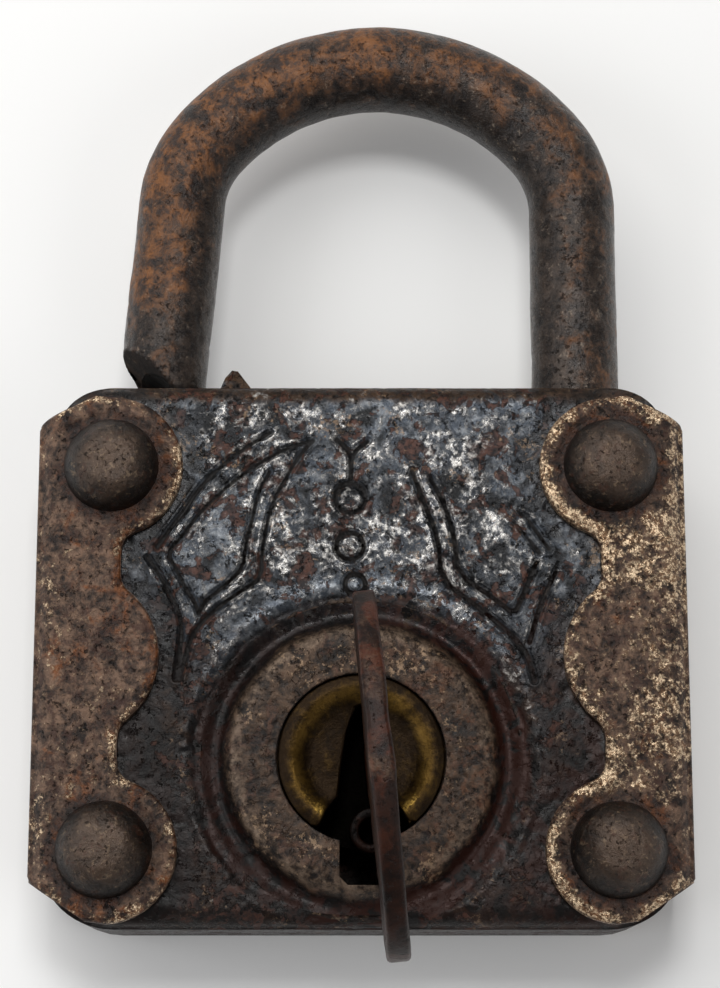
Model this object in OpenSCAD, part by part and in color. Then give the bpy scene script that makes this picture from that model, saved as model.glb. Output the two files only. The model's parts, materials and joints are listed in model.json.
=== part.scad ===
// Riveted steel padlock, lying on its back with the shackle raised and the key in the lock.
// X runs across the case, Y towards the shackle, Z out of the front face, in millimetres.
// The origin is midway between the four rivets, on the outer face of the back plate.

/* [Case] */
// Width of the case between its side straps
case_w = 62.6; // [58:0.2:76]
// Height of the case, from its bottom wall to its top wall
case_h = 54.2; // [52:0.2:62]
// Rise of the middle of the case above the middle of the rivets
case_rise = 0.5; // [0:0.1:0.8]
// Depth of the case, from the back plate's rear face to the front face
case_d = 14; // [13.4:0.2:20]
// Thickness of the pressed sheet
sheet_t = 1.2; // [0.9:0.1:1.4]
// Thickness of the back plate
back_t = 1.5; // [1:0.1:2]
// Corner radius of the case seen from the front
case_corner_r = 7; // [4:0.5:9]
// Rounding of the pressed edge round the front face
case_edge_r = 2.4; // [1.6:0.2:3]
// Height of the back plate's locating lip
back_lip_h = 0.8; // [0.5:0.1:1]

/* [Boss round the keyway] */
// Distance of the keyway axis below the middle of the rivets
keyway_drop = 10.2; // [8:0.2:12]
// Outer radius of the raised boss
boss_r = 13.6; // [12.8:0.2:14.4]
// Height of the boss above the front face
boss_h = 1.8; // [1.5:0.1:2.4]
// Outer radius of the pressed moat round the boss
moat_r = 15.8; // [15.2:0.1:16]
// Depth of the moat
moat_depth = 0.7; // [0.3:0.1:1]
// Width of the slot below the keyway that lets the key's bit in
slot_w = 5; // [4.9:0.1:6]

/* [Engraving] */
// Width of an engraved line
line_w = 0.9; // [0.5:0.1:1.2]
// Depth of an engraved line
line_depth = 0.35; // [0.2:0.05:0.6]

/* [Straps] */
// Thickness of the strap sheet
strap_t = 1.2; // [0.8:0.1:1.6]
// Width of a strap's face at its two notches
strap_w = 8.6; // [8:0.1:9.4]
// Reach of the middle lobe from the strap's outer side
strap_mid_reach = 12.5; // [11:0.1:13.5]
// Radius of the middle lobe
strap_mid_r = 8.3; // [7.6:0.1:8.6]
// Radius of the lobe round each rivet
strap_lobe_r = 7.1; // [6.6:0.1:7.3]
// Radius of the notch between two lobes
strap_notch_r = 2.2; // [1.6:0.1:2.4]
// Width of the cut corners
strap_cut_w = 5.7; // [4:0.1:7]
// Height of the cut corner at the top
strap_cut_top = 2.8; // [2:0.1:4]
// Height of the cut corner at the bottom
strap_cut_bottom = 3.8; // [2:0.1:5]
// Outer bend radius of the strap
strap_bend_r = 2.6; // [2:0.1:3]

/* [Rivets] */
// Distance between the rivets across the case
rivet_span_x = 50; // [48.6:0.1:50.4]
// Distance between the rivets along the case
rivet_span_y = 38.2; // [37.8:0.1:39]
// Radius of the shank
rivet_r = 2.4; // [1.8:0.1:3]
// Radius of the domed head
head_r = 4.7; // [4:0.1:5.2]
// Height of the domed head
head_h = 4.2; // [3:0.1:4.6]
// Radius of the flattened tail on the back
tail_r = 4.3; // [3.6:0.1:5]
// Height of the tail
tail_h = 2; // [1.4:0.1:2.6]
// Clearance round the shank in its holes
rivet_gap = 0.05; // [0.02:0.01:0.1]
// Height of the clenched collar inside the case
clench_h = 0.6; // [0.4:0.1:0.8]

/* [Shackle] */
// Radius of the shackle bar
bar_r = 4.55; // [3.8:0.05:4.6]
// Distance of the heel leg from the middle of the case
heel_x = 22.3; // [21.4:0.1:22.6]
// Distance of the toe leg from the middle of the case, at the start of its bend
toe_x = 19; // [18.4:0.1:19.6]
// Height of the straight legs above the case, with the shackle raised
leg_h = 21; // [14:0.5:40]
// Radius of the two shoulder bends at the middle of the bar
shoulder_r = 12; // [10:0.5:13]
// Height of the crown above the shoulders' centres, at the middle of the bar
crown_h = 16.1; // [14.5:0.1:18]
// Angle that the toe leg is splayed outwards
toe_splay = 5; // [0:0.5:6]
// Travel of the shackle from raised to pushed home
travel = 10; // [8:0.5:11]
// Clearance round the heel in its hole
heel_gap = 0.1; // [0.05:0.01:0.2]
// Clearance round the toe in its hole
toe_gap = 0.6; // [0.5:0.05:0.7]
// Height of the toe's end above the case, with the shackle raised
toe_lift = 0.5; // [0.3:0.1:1]
// Depth of the locking notch in the back of the toe
notch_depth = 3; // [2.6:0.1:3.4]
// Height of the hook left below the notch
hook_h = 2.2; // [1.8:0.1:2.6]

/* [Heel guide] */
// Radius of the heel's turned neck
neck_r = 3; // [2.6:0.1:3.2]
// Radius of the pin beside the neck
heel_pin_r = 1.2; // [1:0.1:1.3]
// Thickness of the collar at the heel's end
collar_t = 3; // [2.4:0.1:4]
// Wall of the sleeve round the heel
sleeve_t = 0.7; // [0.5:0.1:0.7]
// Radius of the spring wire
wire_r = 0.5; // [0.4:0.05:0.6]
// Turns of the shackle spring
spring_turns = 7; // [5:1:9]

/* [Bolt] */
// Thickness of the bolt plate
bolt_t = 2.5; // [2:0.1:2.6]
// Height of the bolt's tip
bolt_tip_h = 2.4; // [2:0.1:2.6]
// Height of the bolt's arm
bolt_arm_h = 4.8; // [4:0.1:5.4]
// Width of the bolt's stem
bolt_stem_w = 9; // [8:0.2:10]
// Throw of the bolt
throw = 5.5; // [4.6:0.1:6]
// Clearance round the bolt in its guides
bolt_gap = 0.15; // [0.1:0.05:0.25]

/* [Drum] */
// Radius of the brass drum
drum_r = 8.2; // [7.8:0.1:8.6]
// Running clearance round the drum in the boss
drum_gap = 0.1; // [0.05:0.01:0.1]
// Angle that the drum turns to throw the bolt
turn = 60; // [50:5:70]
// Width of the raised rim on the drum's face
rim_w = 2.2; // [1.6:0.1:2.8]
// Depth of the dished face inside the rim
dish_depth = 1; // [0.5:0.1:1.5]
// Radius of the drum's rear spindle
spindle_r = 1.4; // [1:0.1:1.6]
// Radius of the crank pin that drives the bolt
crank_r = 1.4; // [1:0.1:1.6]

/* [Key] */
// Thickness of the key's plate
key_t = 2.2; // [1.6:0.1:2.4]
// Width of the oval bow
bow_w = 33.5; // [26:0.5:38]
// Height of the oval bow
bow_h = 23; // [18:0.5:26]
// Height of the bow's middle above the front of the straps
bow_z = 18.6; // [17:0.1:26]
// Radius of the hole in the bow
bow_hole_r = 5; // [3:0.5:7]
// Width of the key's shank
shank_w = 5; // [4:0.2:5.4]
// Lean of the key in its worn slot
key_lean = 8; // [0:1:8]
// Turn of the key about the keyway axis at rest
key_turn = 5.5; // [0:0.5:8]
// Outer radius of the rolled edge of the bit
roll_r = 2.25; // [1.8:0.05:2.3]
// Inner radius of the rolled edge
roll_bore_r = 1.3; // [0.8:0.1:1.4]
// Distance of the rolled edge from the keyway axis
roll_out = 6.8; // [6:0.1:7]
// Reach of the bit from the keyway axis
bit_reach = 12; // [11:0.1:12.2]

/* [Hidden] */
$fn = 96;
eps = 0.01;
touch = 0.1;                                        // air between pieces that only lie by each other
arc_steps = 8;                                      // flats in a quarter turn of a pressed edge

steel = "#5b4a44";
rust = "#6b4a38";
dark_steel = "#3c3a40";
brass = "#8a7340";

// Levels along Z, from the rivet tails up
z_back = 0;
z_strap_back = z_back - strap_t;
z_rest = z_strap_back - tail_h;
z_floor = z_back + back_t;
z_front = z_back + case_d;
z_ceiling = z_front - sheet_t;
z_strap_front = z_front + strap_t;
z_bar = (z_back + z_front) / 2;
z_boss = z_front + boss_h;

// Places in the plane of the case
top_y = case_h / 2 + case_rise;
top_in_y = top_y - sheet_t;
side_x = case_w / 2;
strap_x = side_x + strap_t;
rivet_x = rivet_span_x / 2;
rivet_y = rivet_span_y / 2;
keyway_y = -keyway_drop;
keyway_hole_r = drum_r + drum_gap;
slot_x = 0.4;
slot_reach = bit_reach + 0.35;

// Shackle
shoulder_y = top_y + leg_h;
shackle_mid = (heel_x - toe_x) / 2;
half_span = (heel_x + toe_x) / 2;
crown_r = (pow(half_span - shoulder_r, 2) + crown_h * crown_h - shoulder_r * shoulder_r)
    / (2 * (crown_h - shoulder_r));
crown_turn = atan2(half_span - shoulder_r, crown_r - crown_h);
toe_hole_r = bar_r + toe_gap;
toe_end_y = top_y + toe_lift;
toe_top = [-toe_x + shoulder_r, shoulder_y] + shoulder_r * [-cos(toe_splay), sin(toe_splay)];
toe_end_x = toe_top[0] - (toe_top[1] - toe_end_y) * tan(toe_splay);
toe_home_x = toe_top[0] - (toe_top[1] - toe_end_y - travel) * tan(toe_splay);
toe_hole_x = (toe_end_x + toe_home_x) / 2;
notch_h = bolt_tip_h + 0.3;
toe_break_h = 4.6;

// Heel
pin_gap = 0.25;
neck_top_y = top_in_y - 2.2;
heel_pin_y = neck_top_y - travel - heel_pin_r - pin_gap;
collar_top_y = heel_pin_y - heel_pin_r - pin_gap;
collar_end_y = collar_top_y - collar_t;
heel_pin_x = heel_x - neck_r - heel_pin_r - pin_gap;
sleeve_in_r = bar_r + 0.15;
sleeve_r = sleeve_in_r + sleeve_t;
sleeve_top_y = heel_pin_y - heel_pin_r - 0.6;
cap_t = 1.2;
cap_end_y = collar_end_y - cap_t;
spring_len = 21.5;
spring_end_y = cap_end_y - spring_len;
spring_r = bar_r - wire_r - 0.3;
sleeve_floor_t = 1;

// Bolt and its drive
z_bolt = z_floor + 1.3;
z_bolt_top = z_bolt + bolt_t;
bolt_tip_y = toe_end_y - travel + hook_h + (notch_h - bolt_tip_h) / 2;
bolt_top_y = bolt_tip_y + bolt_tip_h;
bolt_arm_y = bolt_top_y - bolt_arm_h;
bolt_rest_x = toe_hole_x + toe_hole_r + 0.35;
crank_out = throw / (2 * sin(turn / 2));
crank_rest_x = crank_out * cos(90 - turn / 2);
crank_rest_y = keyway_y + crank_out * sin(90 - turn / 2);
crank_slot = crank_r + 0.3;
guide_l = 3.4;
guide_t = 1.1;
guide_left_x = -11.4;
guide_right_x = 8.2;
arm_end_x = 17.4;

// Drum
z_drum_back = z_bolt_top + 0.7;
z_drum_front = z_boss - 0.2;
z_key_tip = z_drum_back + 1.2;
flange_r = drum_r + 1;
z_flange = z_boss - sheet_t - touch;

// Key
key_plane_x = 1.4;
z_bit = z_ceiling - 1.5;
ward_r = 10;
ward_t = 0.8;
ward_h = 2;
ward_gap = 0.4;

// Points of an arc about c, from angle a to angle b
function arc(c, r, a, b, steps = arc_steps) =
    [for (i = [0 : steps]) c + r * [cos(a + (b - a) * i / steps), sin(a + (b - a) * i / steps)]];

// Outline of a rectangle with round corners, centred on the origin
function round_rect(w, h, r) = concat(
    arc([w / 2 - r, h / 2 - r], r, 0, 90),
    arc([-w / 2 + r, h / 2 - r], r, 90, 180),
    arc([-w / 2 + r, -h / 2 + r], r, 180, 270),
    arc([w / 2 - r, -h / 2 + r], r, 270, 360));

// Section of a pan from z0 to z1 whose upper edges are rounded
function pan_section(w, z0, z1, r) = concat(
    [[-w / 2, z0], [w / 2, z0]],
    arc([w / 2 - r, z1 - r], r, 0, 90),
    arc([-w / 2 + r, z1 - r], r, 90, 180));

// Lays a section drawn in X and Z along Y, and one drawn in Y and Z along X
module along_y(len) rotate([90, 0, 0]) translate([0, 0, -len / 2]) linear_extrude(len) children();
module along_x(len) rotate([90, 0, 90]) translate([0, 0, -len / 2]) linear_extrude(len) children();

// A cylinder from point y0 to y1 along Y
module bar_y(x, y0, y1, z, r)
    translate([x, y0, z]) rotate([-90, 0, 0]) cylinder(h = y1 - y0, r = r);

// Solid form of the pressed case, with its front edges rounded
module pan(w, h, z0, z1, corner, edge)
    translate([0, case_rise, 0]) intersection() {
        translate([0, 0, z0]) linear_extrude(z1 - z0) polygon(round_rect(w, h, corner));
        along_y(h + 2) polygon(pan_section(w, z0, z1, edge));
        along_x(w + 2) polygon(pan_section(h, z0, z1, edge));
    }

module at_rivets() for (sx = [-1, 1], sy = [-1, 1]) translate([sx * rivet_x, sy * rivet_y, 0]) children();

// Section of the boss, the moat round it and the sheet under them
function boss_section() = let (f = z_front, t = sheet_t, m = moat_depth) [
    [keyway_hole_r, f + boss_h],
    [boss_r - 2.2, f + boss_h],
    [boss_r - 1.1, f + boss_h - 0.25],
    [boss_r - 0.4, f + boss_h - 0.9],
    [boss_r + 0.4, f - m + 0.3],
    [boss_r + 0.8, f - m],
    [moat_r - 0.9, f - m],
    [moat_r, f],
    [moat_r, f - t],
    [moat_r - 0.6, f - t - m],
    [boss_r + 0.2, f - t - m],
    [boss_r - 1, f - t - m + 0.5],
    [boss_r - 1.7, f + boss_h - t - 0.6],
    [boss_r - 2.6, f + boss_h - t],
    [keyway_hole_r, f + boss_h - t]
];

// Keyway through the boss: a round hole with a slot below it
module keyway_cut()
    translate([0, keyway_y, z_floor]) {
        cylinder(h = case_d + boss_h + 2, r = keyway_hole_r);
        translate([slot_x - slot_w / 2, -slot_reach, 0]) cube([slot_w, slot_reach, case_d + boss_h + 2]);
    }

// An engraved line of even width along a list of points
function side_step(p, i) = let (
    a = p[max(i - 1, 0)],
    b = p[min(i + 1, len(p) - 1)],
    d = (b - a) / norm(b - a)) [-d[1], d[0]];
function stroke(p, w) = concat(
    [for (i = [0 : len(p) - 1]) p[i] + side_step(p, i) * w / 2],
    [for (i = [len(p) - 1 : -1 : 0]) p[i] - side_step(p, i) * w / 2]);
module engrave(p)
    translate([0, 0, z_front - line_depth]) linear_extrude(line_depth + 1) polygon(stroke(p, line_w));
module engrave_ring(x, y, r)
    translate([x, y, z_front - line_depth])
        difference() {
            cylinder(h = line_depth + 1, r = r + line_w / 2);
            translate([0, 0, -1]) cylinder(h = line_depth + 3, r = r - line_w / 2);
        }

// Leaf ornament on the left, as places from the ornament's own middle line; the right one mirrors it
ornament_x = -1;
leaf_edge = [[-3.8, 22], [-6.6, 21.2], [-9.4, 19.6], [-12.2, 17.5], [-14.2, 15.6], [-15.8, 13.8], [-18.2, 10.8]];
leaf_edge_fold = [[-18.2, 10.1], [-17.4, 8.7], [-16.4, 6.7], [-15.5, 4.8]];
leaf_shadow = [[-8.2, 22.8], [-11.2, 21], [-13.8, 18.75], [-15.6, 16.7], [-17.1, 14.6], [-18.1, 13.2]];
leaf_scroll = [[-20.1, 10], [-19.2, 8.3], [-18, 6.3], [-17.2, 4.7], [-16.8, 3], [-17, 0], [-17.3, -2.2]];
leaf_vein = [[-8.2, 18.75], [-9.2, 17.1], [-9.9, 14], [-10.5, 11.6], [-10.8, 9.3]];
leaf_vein_fold = [[-11, 8.6], [-12.8, 6.9], [-14.2, 5.7]];
leaf_spine = [[-5, 20.5], [-6.5, 18.3], [-7.9, 15.65], [-8.5, 13.2], [-8.9, 10.55], [-9, 8.4]];
leaf_spine_fold = [[-9.4, 7.5], [-10.5, 6.9], [-12.8, 5.3], [-14.6, 3.7]];
module leaf() {
    engrave(leaf_edge);
    engrave(leaf_edge_fold);
    engrave(leaf_shadow);
    engrave(leaf_scroll);
    engrave(leaf_vein);
    engrave(leaf_vein_fold);
    engrave(leaf_spine);
    engrave(leaf_spine_fold);
}
module ornament()
    translate([ornament_x, 0, 0]) {
        leaf();
        mirror([1, 0, 0]) leaf();
        engrave([[-1.6, 22.9], [-0.8, 22], [-0.1, 21]]);
        engrave([[1.6, 22.9], [0.9, 22], [0.5, 21.4]]);
        engrave([[0, 20.5], [0, 19.6], [-0.1, 18.6]]);
        engrave_ring(0, 16.1, 1.5);
        engrave_ring(0, 11.2, 1.4);
        engrave_ring(0.5, 7.3, 1.1);
    }

module front_case()
    color(dark_steel) {
        difference() {
            pan(case_w, case_h, z_floor, z_front, case_corner_r, case_edge_r);
            pan(case_w - 2 * sheet_t, case_h - 2 * sheet_t, z_floor - 1, z_ceiling,
                case_corner_r - sheet_t, case_edge_r - sheet_t);
            translate([0, keyway_y, z_ceiling - 1]) cylinder(h = sheet_t + 2, r = moat_r);
            at_rivets() translate([0, 0, z_ceiling - 1]) cylinder(h = sheet_t + 2, r = rivet_r + rivet_gap);
            bar_y(heel_x, top_in_y - 1, top_y + 1, z_bar, bar_r + heel_gap);
            bar_y(toe_hole_x, top_in_y - 1, top_y + 1, z_bar, toe_hole_r);
            ornament();
        }
        intersection() {
            difference() {
                translate([0, keyway_y, 0]) rotate_extrude() polygon(boss_section());
                keyway_cut();
            }
            union() {
                pan(case_w, case_h, z_floor, z_front, case_corner_r, case_edge_r);
                translate([0, keyway_y, z_floor]) cylinder(h = case_d + boss_h, r = boss_r + 0.6);
            }
        }
        torn_lip();
    }

// Sheet torn upwards beside the toe hole
module torn_lip()
    translate([toe_hole_x + toe_hole_r + 0.1, top_y - 0.4, z_bar + 0.6])
        linear_extrude(sheet_t * 1.6)
            polygon([[0, 0], [1.1, 2.6], [1.8, 3.4], [2.4, 3.3], [4.6, 0.4], [4.6, 0]]);

module back_plate()
    color(rust)
        difference() {
            union() {
                translate([0, case_rise, z_back]) linear_extrude(back_t)
                    polygon(round_rect(case_w, case_h, case_corner_r));
                translate([0, case_rise, z_floor - eps]) linear_extrude(back_lip_h)
                    difference() {
                        polygon(round_rect(case_w - 2 * sheet_t - touch, case_h - 2 * sheet_t - touch,
                            case_corner_r - sheet_t));
                        polygon(round_rect(case_w - 4 * sheet_t, case_h - 4 * sheet_t,
                            case_corner_r - 2 * sheet_t));
                    }
            }
            at_rivets() translate([0, 0, z_back - 1]) cylinder(h = back_t + 2, r = rivet_r + rivet_gap);
            translate([0, keyway_y, z_back - 1]) cylinder(h = back_t + 2, r = spindle_r + 0.1);
            translate([heel_pin_x, heel_pin_y, z_back - 1]) cylinder(h = back_t + 2, r = heel_pin_r);
        }

// Corner of a strap's inner edge: fills the hollow between a lobe and the notch beside it
function notch_at(cx, cy, r, way) = let (x = -strap_x + strap_w + strap_notch_r)
    [x, cy + way * sqrt(pow(r + strap_notch_r, 2) - pow(x - cx, 2))];

// Outline of the left strap's face
function strap_outline() = let (
    x0 = -strap_x,
    mid = [-strap_x + strap_mid_reach - strap_mid_r, 0],
    top = [-rivet_x, rivet_y],
    a = notch_at(top[0], top[1], strap_lobe_r, -1),
    b = notch_at(mid[0], mid[1], strap_mid_r, 1),
    a_turn = atan2(a[1] - top[1], a[0] - top[0]),
    b_turn = atan2(b[1] - mid[1], b[0] - mid[0]),
    end_y = rivet_y + strap_lobe_r + 0.2,
    half = concat(
        arc(top, strap_lobe_r, 88, a_turn, 20),
        arc(a, strap_notch_r, a_turn + 180, 180, 5),
        arc(b, strap_notch_r, 180, b_turn + 180, 5),
        arc(mid, strap_mid_r, b_turn, 0, 8)))
    concat(
        [[x0, end_y - strap_cut_top], [x0 + strap_cut_w, end_y]], half,
        [for (i = [len(half) - 2 : -1 : 0]) [half[i][0], -half[i][1]]],
        [[x0 + strap_cut_w, -end_y + 0.5], [x0, -end_y + 0.5 + strap_cut_bottom]]);

// Section of the left strap: a channel round the side of the case
function strap_section() = let (
    x0 = -strap_x, x1 = -strap_x + strap_mid_reach + 2, t = strap_t,
    zb = z_strap_back, zf = z_strap_front, r = strap_bend_r, q = r - t)
    concat(
        [[x1, zf]], arc([x0 + r, zf - r], r, 90, 180),
        arc([x0 + q, zb + q], q, 180, 270, 4), [[x1, zb]],
        [[x1, zb + t], [x0 + t, zb + t]],
        arc([x0 + t + q, zf - t - q], q, 180, 90, 4), [[x1, zf - t]]);

module left_strap()
    color(steel)
        difference() {
            intersection() {
                along_y(case_h + 2) polygon(strap_section());
                translate([0, 0, z_rest]) linear_extrude(z_strap_front - z_rest + 1) polygon(strap_outline());
            }
            at_rivets() translate([0, 0, z_strap_back - 1])
                cylinder(h = z_strap_front - z_strap_back + 2, r = rivet_r + rivet_gap);
        }
module right_strap() mirror([1, 0, 0]) left_strap();

// Rivet with a domed head on the front strap, clenched inside the case
module front_rivet(sx, sy) {
    dome_r = (head_r * head_r + head_h * head_h) / (2 * head_h);
    color(dark_steel)
        translate([sx * rivet_x, sy * rivet_y, 0]) {
            intersection() {
                translate([0, 0, z_strap_front + head_h - dome_r]) sphere(r = dome_r);
                translate([0, 0, z_strap_front]) cylinder(h = head_h + 1, r = head_r + 1);
            }
            translate([0, 0, z_ceiling - clench_h]) {
                cylinder(h = z_strap_front - z_ceiling + clench_h, r = rivet_r);
                cylinder(h = clench_h, r = rivet_r + 0.9);
            }
        }
}

// Rivet with a flattened tail on the back strap, clenched inside the case
module back_rivet(sx, sy) {
    dome_h = tail_h + 0.7;
    dome_r = (tail_r * tail_r + dome_h * dome_h) / (2 * dome_h);
    color(steel)
        translate([sx * rivet_x, sy * rivet_y, 0]) {
            intersection() {
                translate([0, 0, z_strap_back - dome_h + dome_r]) sphere(r = dome_r);
                translate([0, 0, z_rest]) cylinder(h = tail_h, r = tail_r + 1);
            }
            translate([0, 0, z_strap_back]) cylinder(h = z_floor - z_strap_back + clench_h, r = rivet_r);
            translate([0, 0, z_floor]) cylinder(h = clench_h, r = rivet_r + 0.9);
        }
}
module front_rivet_top_left() front_rivet(-1, 1);
module front_rivet_top_right() front_rivet(1, 1);
module front_rivet_bottom_left() front_rivet(-1, -1);
module front_rivet_bottom_right() front_rivet(1, -1);
module back_rivet_top_left() back_rivet(-1, 1);
module back_rivet_top_right() back_rivet(1, 1);
module back_rivet_bottom_left() back_rivet(-1, -1);
module back_rivet_bottom_right() back_rivet(1, -1);

// Bend of the bar in the plane of the shackle, from angle a to angle b
module bend(x, y, r, a, b)
    translate([x, y, z_bar]) rotate([0, 0, a])
        rotate_extrude(angle = b - a) translate([r, 0]) circle(r = bar_r);

// Collar a hair proud of the bar, over the joint between two bends at angle a about a centre
module bend_collar(x, y, r, a)
    translate([x + r * cos(a), y + r * sin(a), z_bar]) rotate([90, 0, a])
        cylinder(h = 1, r = bar_r + 0.03, center = true);

module shackle() {
    toe_len = (toe_top[1] - toe_end_y) / cos(toe_splay) + 2;
    color(rust)
        difference() {
            union() {
                bar_y(heel_x, neck_top_y, shoulder_y, z_bar, bar_r);
                bar_y(heel_x, collar_end_y, neck_top_y, z_bar, neck_r);
                bar_y(heel_x, collar_end_y, collar_top_y, z_bar, bar_r);
                bend(heel_x - shoulder_r, shoulder_y, shoulder_r, 0, 90 - crown_turn);
                bend(shackle_mid, shoulder_y + crown_h - crown_r, crown_r, 90 - crown_turn, 90 + crown_turn);
                bend(-toe_x + shoulder_r, shoulder_y, shoulder_r, 90 + crown_turn, 180 - toe_splay);
                translate([toe_top[0], toe_top[1], z_bar]) rotate([90, 0, -toe_splay])
                    cylinder(h = toe_len, r = bar_r);
                bend_collar(heel_x - shoulder_r, shoulder_y, shoulder_r, 0);
                bend_collar(heel_x - shoulder_r, shoulder_y, shoulder_r, 90 - crown_turn);
                bend_collar(-toe_x + shoulder_r, shoulder_y, shoulder_r, 90 + crown_turn);
                bend_collar(-toe_x + shoulder_r, shoulder_y, shoulder_r, 180 - toe_splay);
            }
            // End of the toe, cut square to the case
            translate([toe_end_x - 10, toe_end_y - 10, z_bar - 10]) cube([20, 10, 20]);
            // Locking notch across the back of the toe
            translate([toe_end_x - 10, toe_end_y + hook_h, z_bar - bar_r - 1])
                cube([20, notch_h, notch_depth + 1]);
            // Corner broken off the front of the toe
            translate([toe_end_x - bar_r, toe_end_y + toe_break_h, z_bar - 1])
                rotate([0, 0, -48]) translate([0, -12, 0]) cube([12, 12, 12]);
        }
}

module spring_cap()
    color(steel) bar_y(heel_x, cap_end_y, collar_end_y - 0.05, z_bar, bar_r - 0.1);

// Coil spring under the heel: rings of wire joined by a straight bead down one side
module shackle_spring() {
    pitch = (spring_len - 2 * wire_r) / (spring_turns - 1);
    color(steel) {
        for (i = [0 : spring_turns - 1])
            translate([heel_x, spring_end_y + wire_r + i * pitch, z_bar]) rotate([90, 0, 0])
                rotate_extrude() translate([spring_r, 0]) circle(r = wire_r, $fn = 24);
        bar_y(heel_x + spring_r, spring_end_y + wire_r, cap_end_y - wire_r, z_bar, wire_r * 0.7);
    }
}

module heel_sleeve()
    color(steel)
        difference() {
            bar_y(heel_x, spring_end_y - sleeve_floor_t, sleeve_top_y, z_bar, sleeve_r);
            bar_y(heel_x, spring_end_y, sleeve_top_y + 1, z_bar, sleeve_in_r);
        }

module heel_pin()
    color(dark_steel)
        translate([heel_pin_x, heel_pin_y, z_back]) cylinder(h = z_ceiling - z_back, r = heel_pin_r);

// Block that guides the toe and passes the bolt's tip
module toe_guide() {
    w = toe_hole_r + 0.9;
    color(steel)
        difference() {
            translate([toe_hole_x - w, bolt_arm_y - 2, z_floor])
                cube([2 * w, top_in_y - bolt_arm_y, z_ceiling - z_floor]);
            bar_y(toe_hole_x, bolt_arm_y - 3, top_y, z_bar, toe_hole_r);
            translate([toe_hole_x, bolt_tip_y - bolt_gap, z_bolt - bolt_gap])
                cube([w + 1, bolt_tip_h + 2 * bolt_gap, bolt_t + 2 * bolt_gap]);
            at_rivets() translate([0, 0, z_floor - 1]) cylinder(h = 1 + clench_h + touch, r = rivet_r + 1);
            at_rivets() translate([0, 0, z_ceiling - clench_h - touch]) cylinder(h = 2, r = rivet_r + 1);
        }
}

// Bolt: a tip that enters the toe's notch, an arm in two guides, and a stem forked round the crank pin
module bolt() {
    stem_left = crank_rest_x - bolt_stem_w / 2;
    stem_right = crank_rest_x + bolt_stem_w / 2;
    fork_y = keyway_y + spindle_r + 0.4;
    color(steel)
        difference() {
            translate([0, 0, z_bolt]) linear_extrude(bolt_t) polygon([
                [bolt_rest_x, bolt_tip_y], [bolt_rest_x, bolt_top_y],
                [arm_end_x, bolt_top_y], [arm_end_x, bolt_arm_y],
                [stem_right, bolt_arm_y], [stem_right, fork_y],
                [stem_left, fork_y], [stem_left, bolt_tip_y]
            ]);
            translate([crank_rest_x - crank_slot, fork_y - 1, z_bolt - 1])
                cube([2 * crank_slot, keyway_y + crank_out + crank_r + 0.4 - fork_y + 1, bolt_t + 2]);
        }
}

// Staple that the bolt slides through, where the bolt reaches from bolt_y to its top edge
module bolt_guide(x, bolt_y) {
    low = bolt_y - guide_t - bolt_gap;
    high = bolt_top_y + guide_t + bolt_gap;
    color(dark_steel)
        difference() {
            translate([x, low, z_floor]) cube([guide_l, high - low, z_bolt_top + bolt_gap + guide_t - z_floor]);
            translate([x - 1, bolt_y - bolt_gap, z_bolt - bolt_gap])
                cube([guide_l + 2, bolt_top_y - bolt_y + 2 * bolt_gap, bolt_t + 2 * bolt_gap]);
        }
}
module bolt_guide_left() bolt_guide(guide_left_x, bolt_tip_y);
module bolt_guide_right() bolt_guide(guide_right_x, bolt_arm_y);

// Bent leaf that presses on the bolt's stem
module bolt_leaf() {
    z = z_bolt_top + touch;
    color(steel)
        translate([0, 8, 0]) rotate([90, 0, 0]) translate([0, 0, -2]) linear_extrude(4) polygon([
            [-14, z_floor], [-9.6, z_floor], [-8, z + 0.2], [-3, z], [4, z], [5.4, z + 0.9],
            [4.6, z + 1.2], [3.6, z + 0.6], [-3, z + 0.6], [-8.4, z + 0.9],
            [-10.2, z_floor + 0.6], [-14, z_floor + 0.6]
        ]);
}

// Section of the drum's turned outside
function drum_section() = let (zf = z_drum_front, d = dish_depth) [
    [0, z_drum_back], [drum_r - 0.4, z_drum_back], [drum_r, z_drum_back + 0.4],
    [drum_r, z_flange - 1], [flange_r, z_flange - 1], [flange_r, z_flange],
    [drum_r, z_flange], [drum_r, zf - 0.8], [drum_r - 0.35, zf - 0.25], [drum_r - 0.9, zf],
    [drum_r - 1.5, zf - 0.1], [drum_r - rim_w, zf - d], [0, zf - d - 0.3]
];

// Key slot in the drum: narrow above the axis and open through the rim below it
module drum_slot()
    translate([0, keyway_y, z_key_tip]) linear_extrude(z_boss) polygon([
        [-0.5, 5.4], [1.9, 5.4], [2.9, 2], [3.1, -3.6], [4.6, -6], [5.2, -11], [-5, -11],
        [-4.9, -7], [-4, -5.4], [-2.3, -3.6], [-2, -0.4], [-1.6, 2.6]
    ]);

module drum()
    color(brass)
        difference() {
            union() {
                translate([0, keyway_y, 0]) rotate_extrude() polygon(drum_section());
                translate([0, keyway_y, z_back + 0.2]) cylinder(h = z_drum_back - z_back, r = spindle_r);
            }
            drum_slot();
            translate([crank_rest_x, crank_rest_y, z_drum_back - 1]) cylinder(h = 2.1, r = crank_r + 0.02);
        }

module crank_pin()
    color(steel)
        translate([crank_rest_x, crank_rest_y, z_bolt - 0.3])
            cylinder(h = z_drum_back + 1.3 - z_bolt, r = crank_r);

module drum_bush()
    color(brass)
        translate([0, keyway_y, z_floor])
            difference() {
                cylinder(h = z_bolt - z_floor - 0.4, r = spindle_r + 2);
                translate([0, 0, -1]) cylinder(h = z_bolt - z_floor + 2, r = spindle_r + 0.1);
            }

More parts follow.
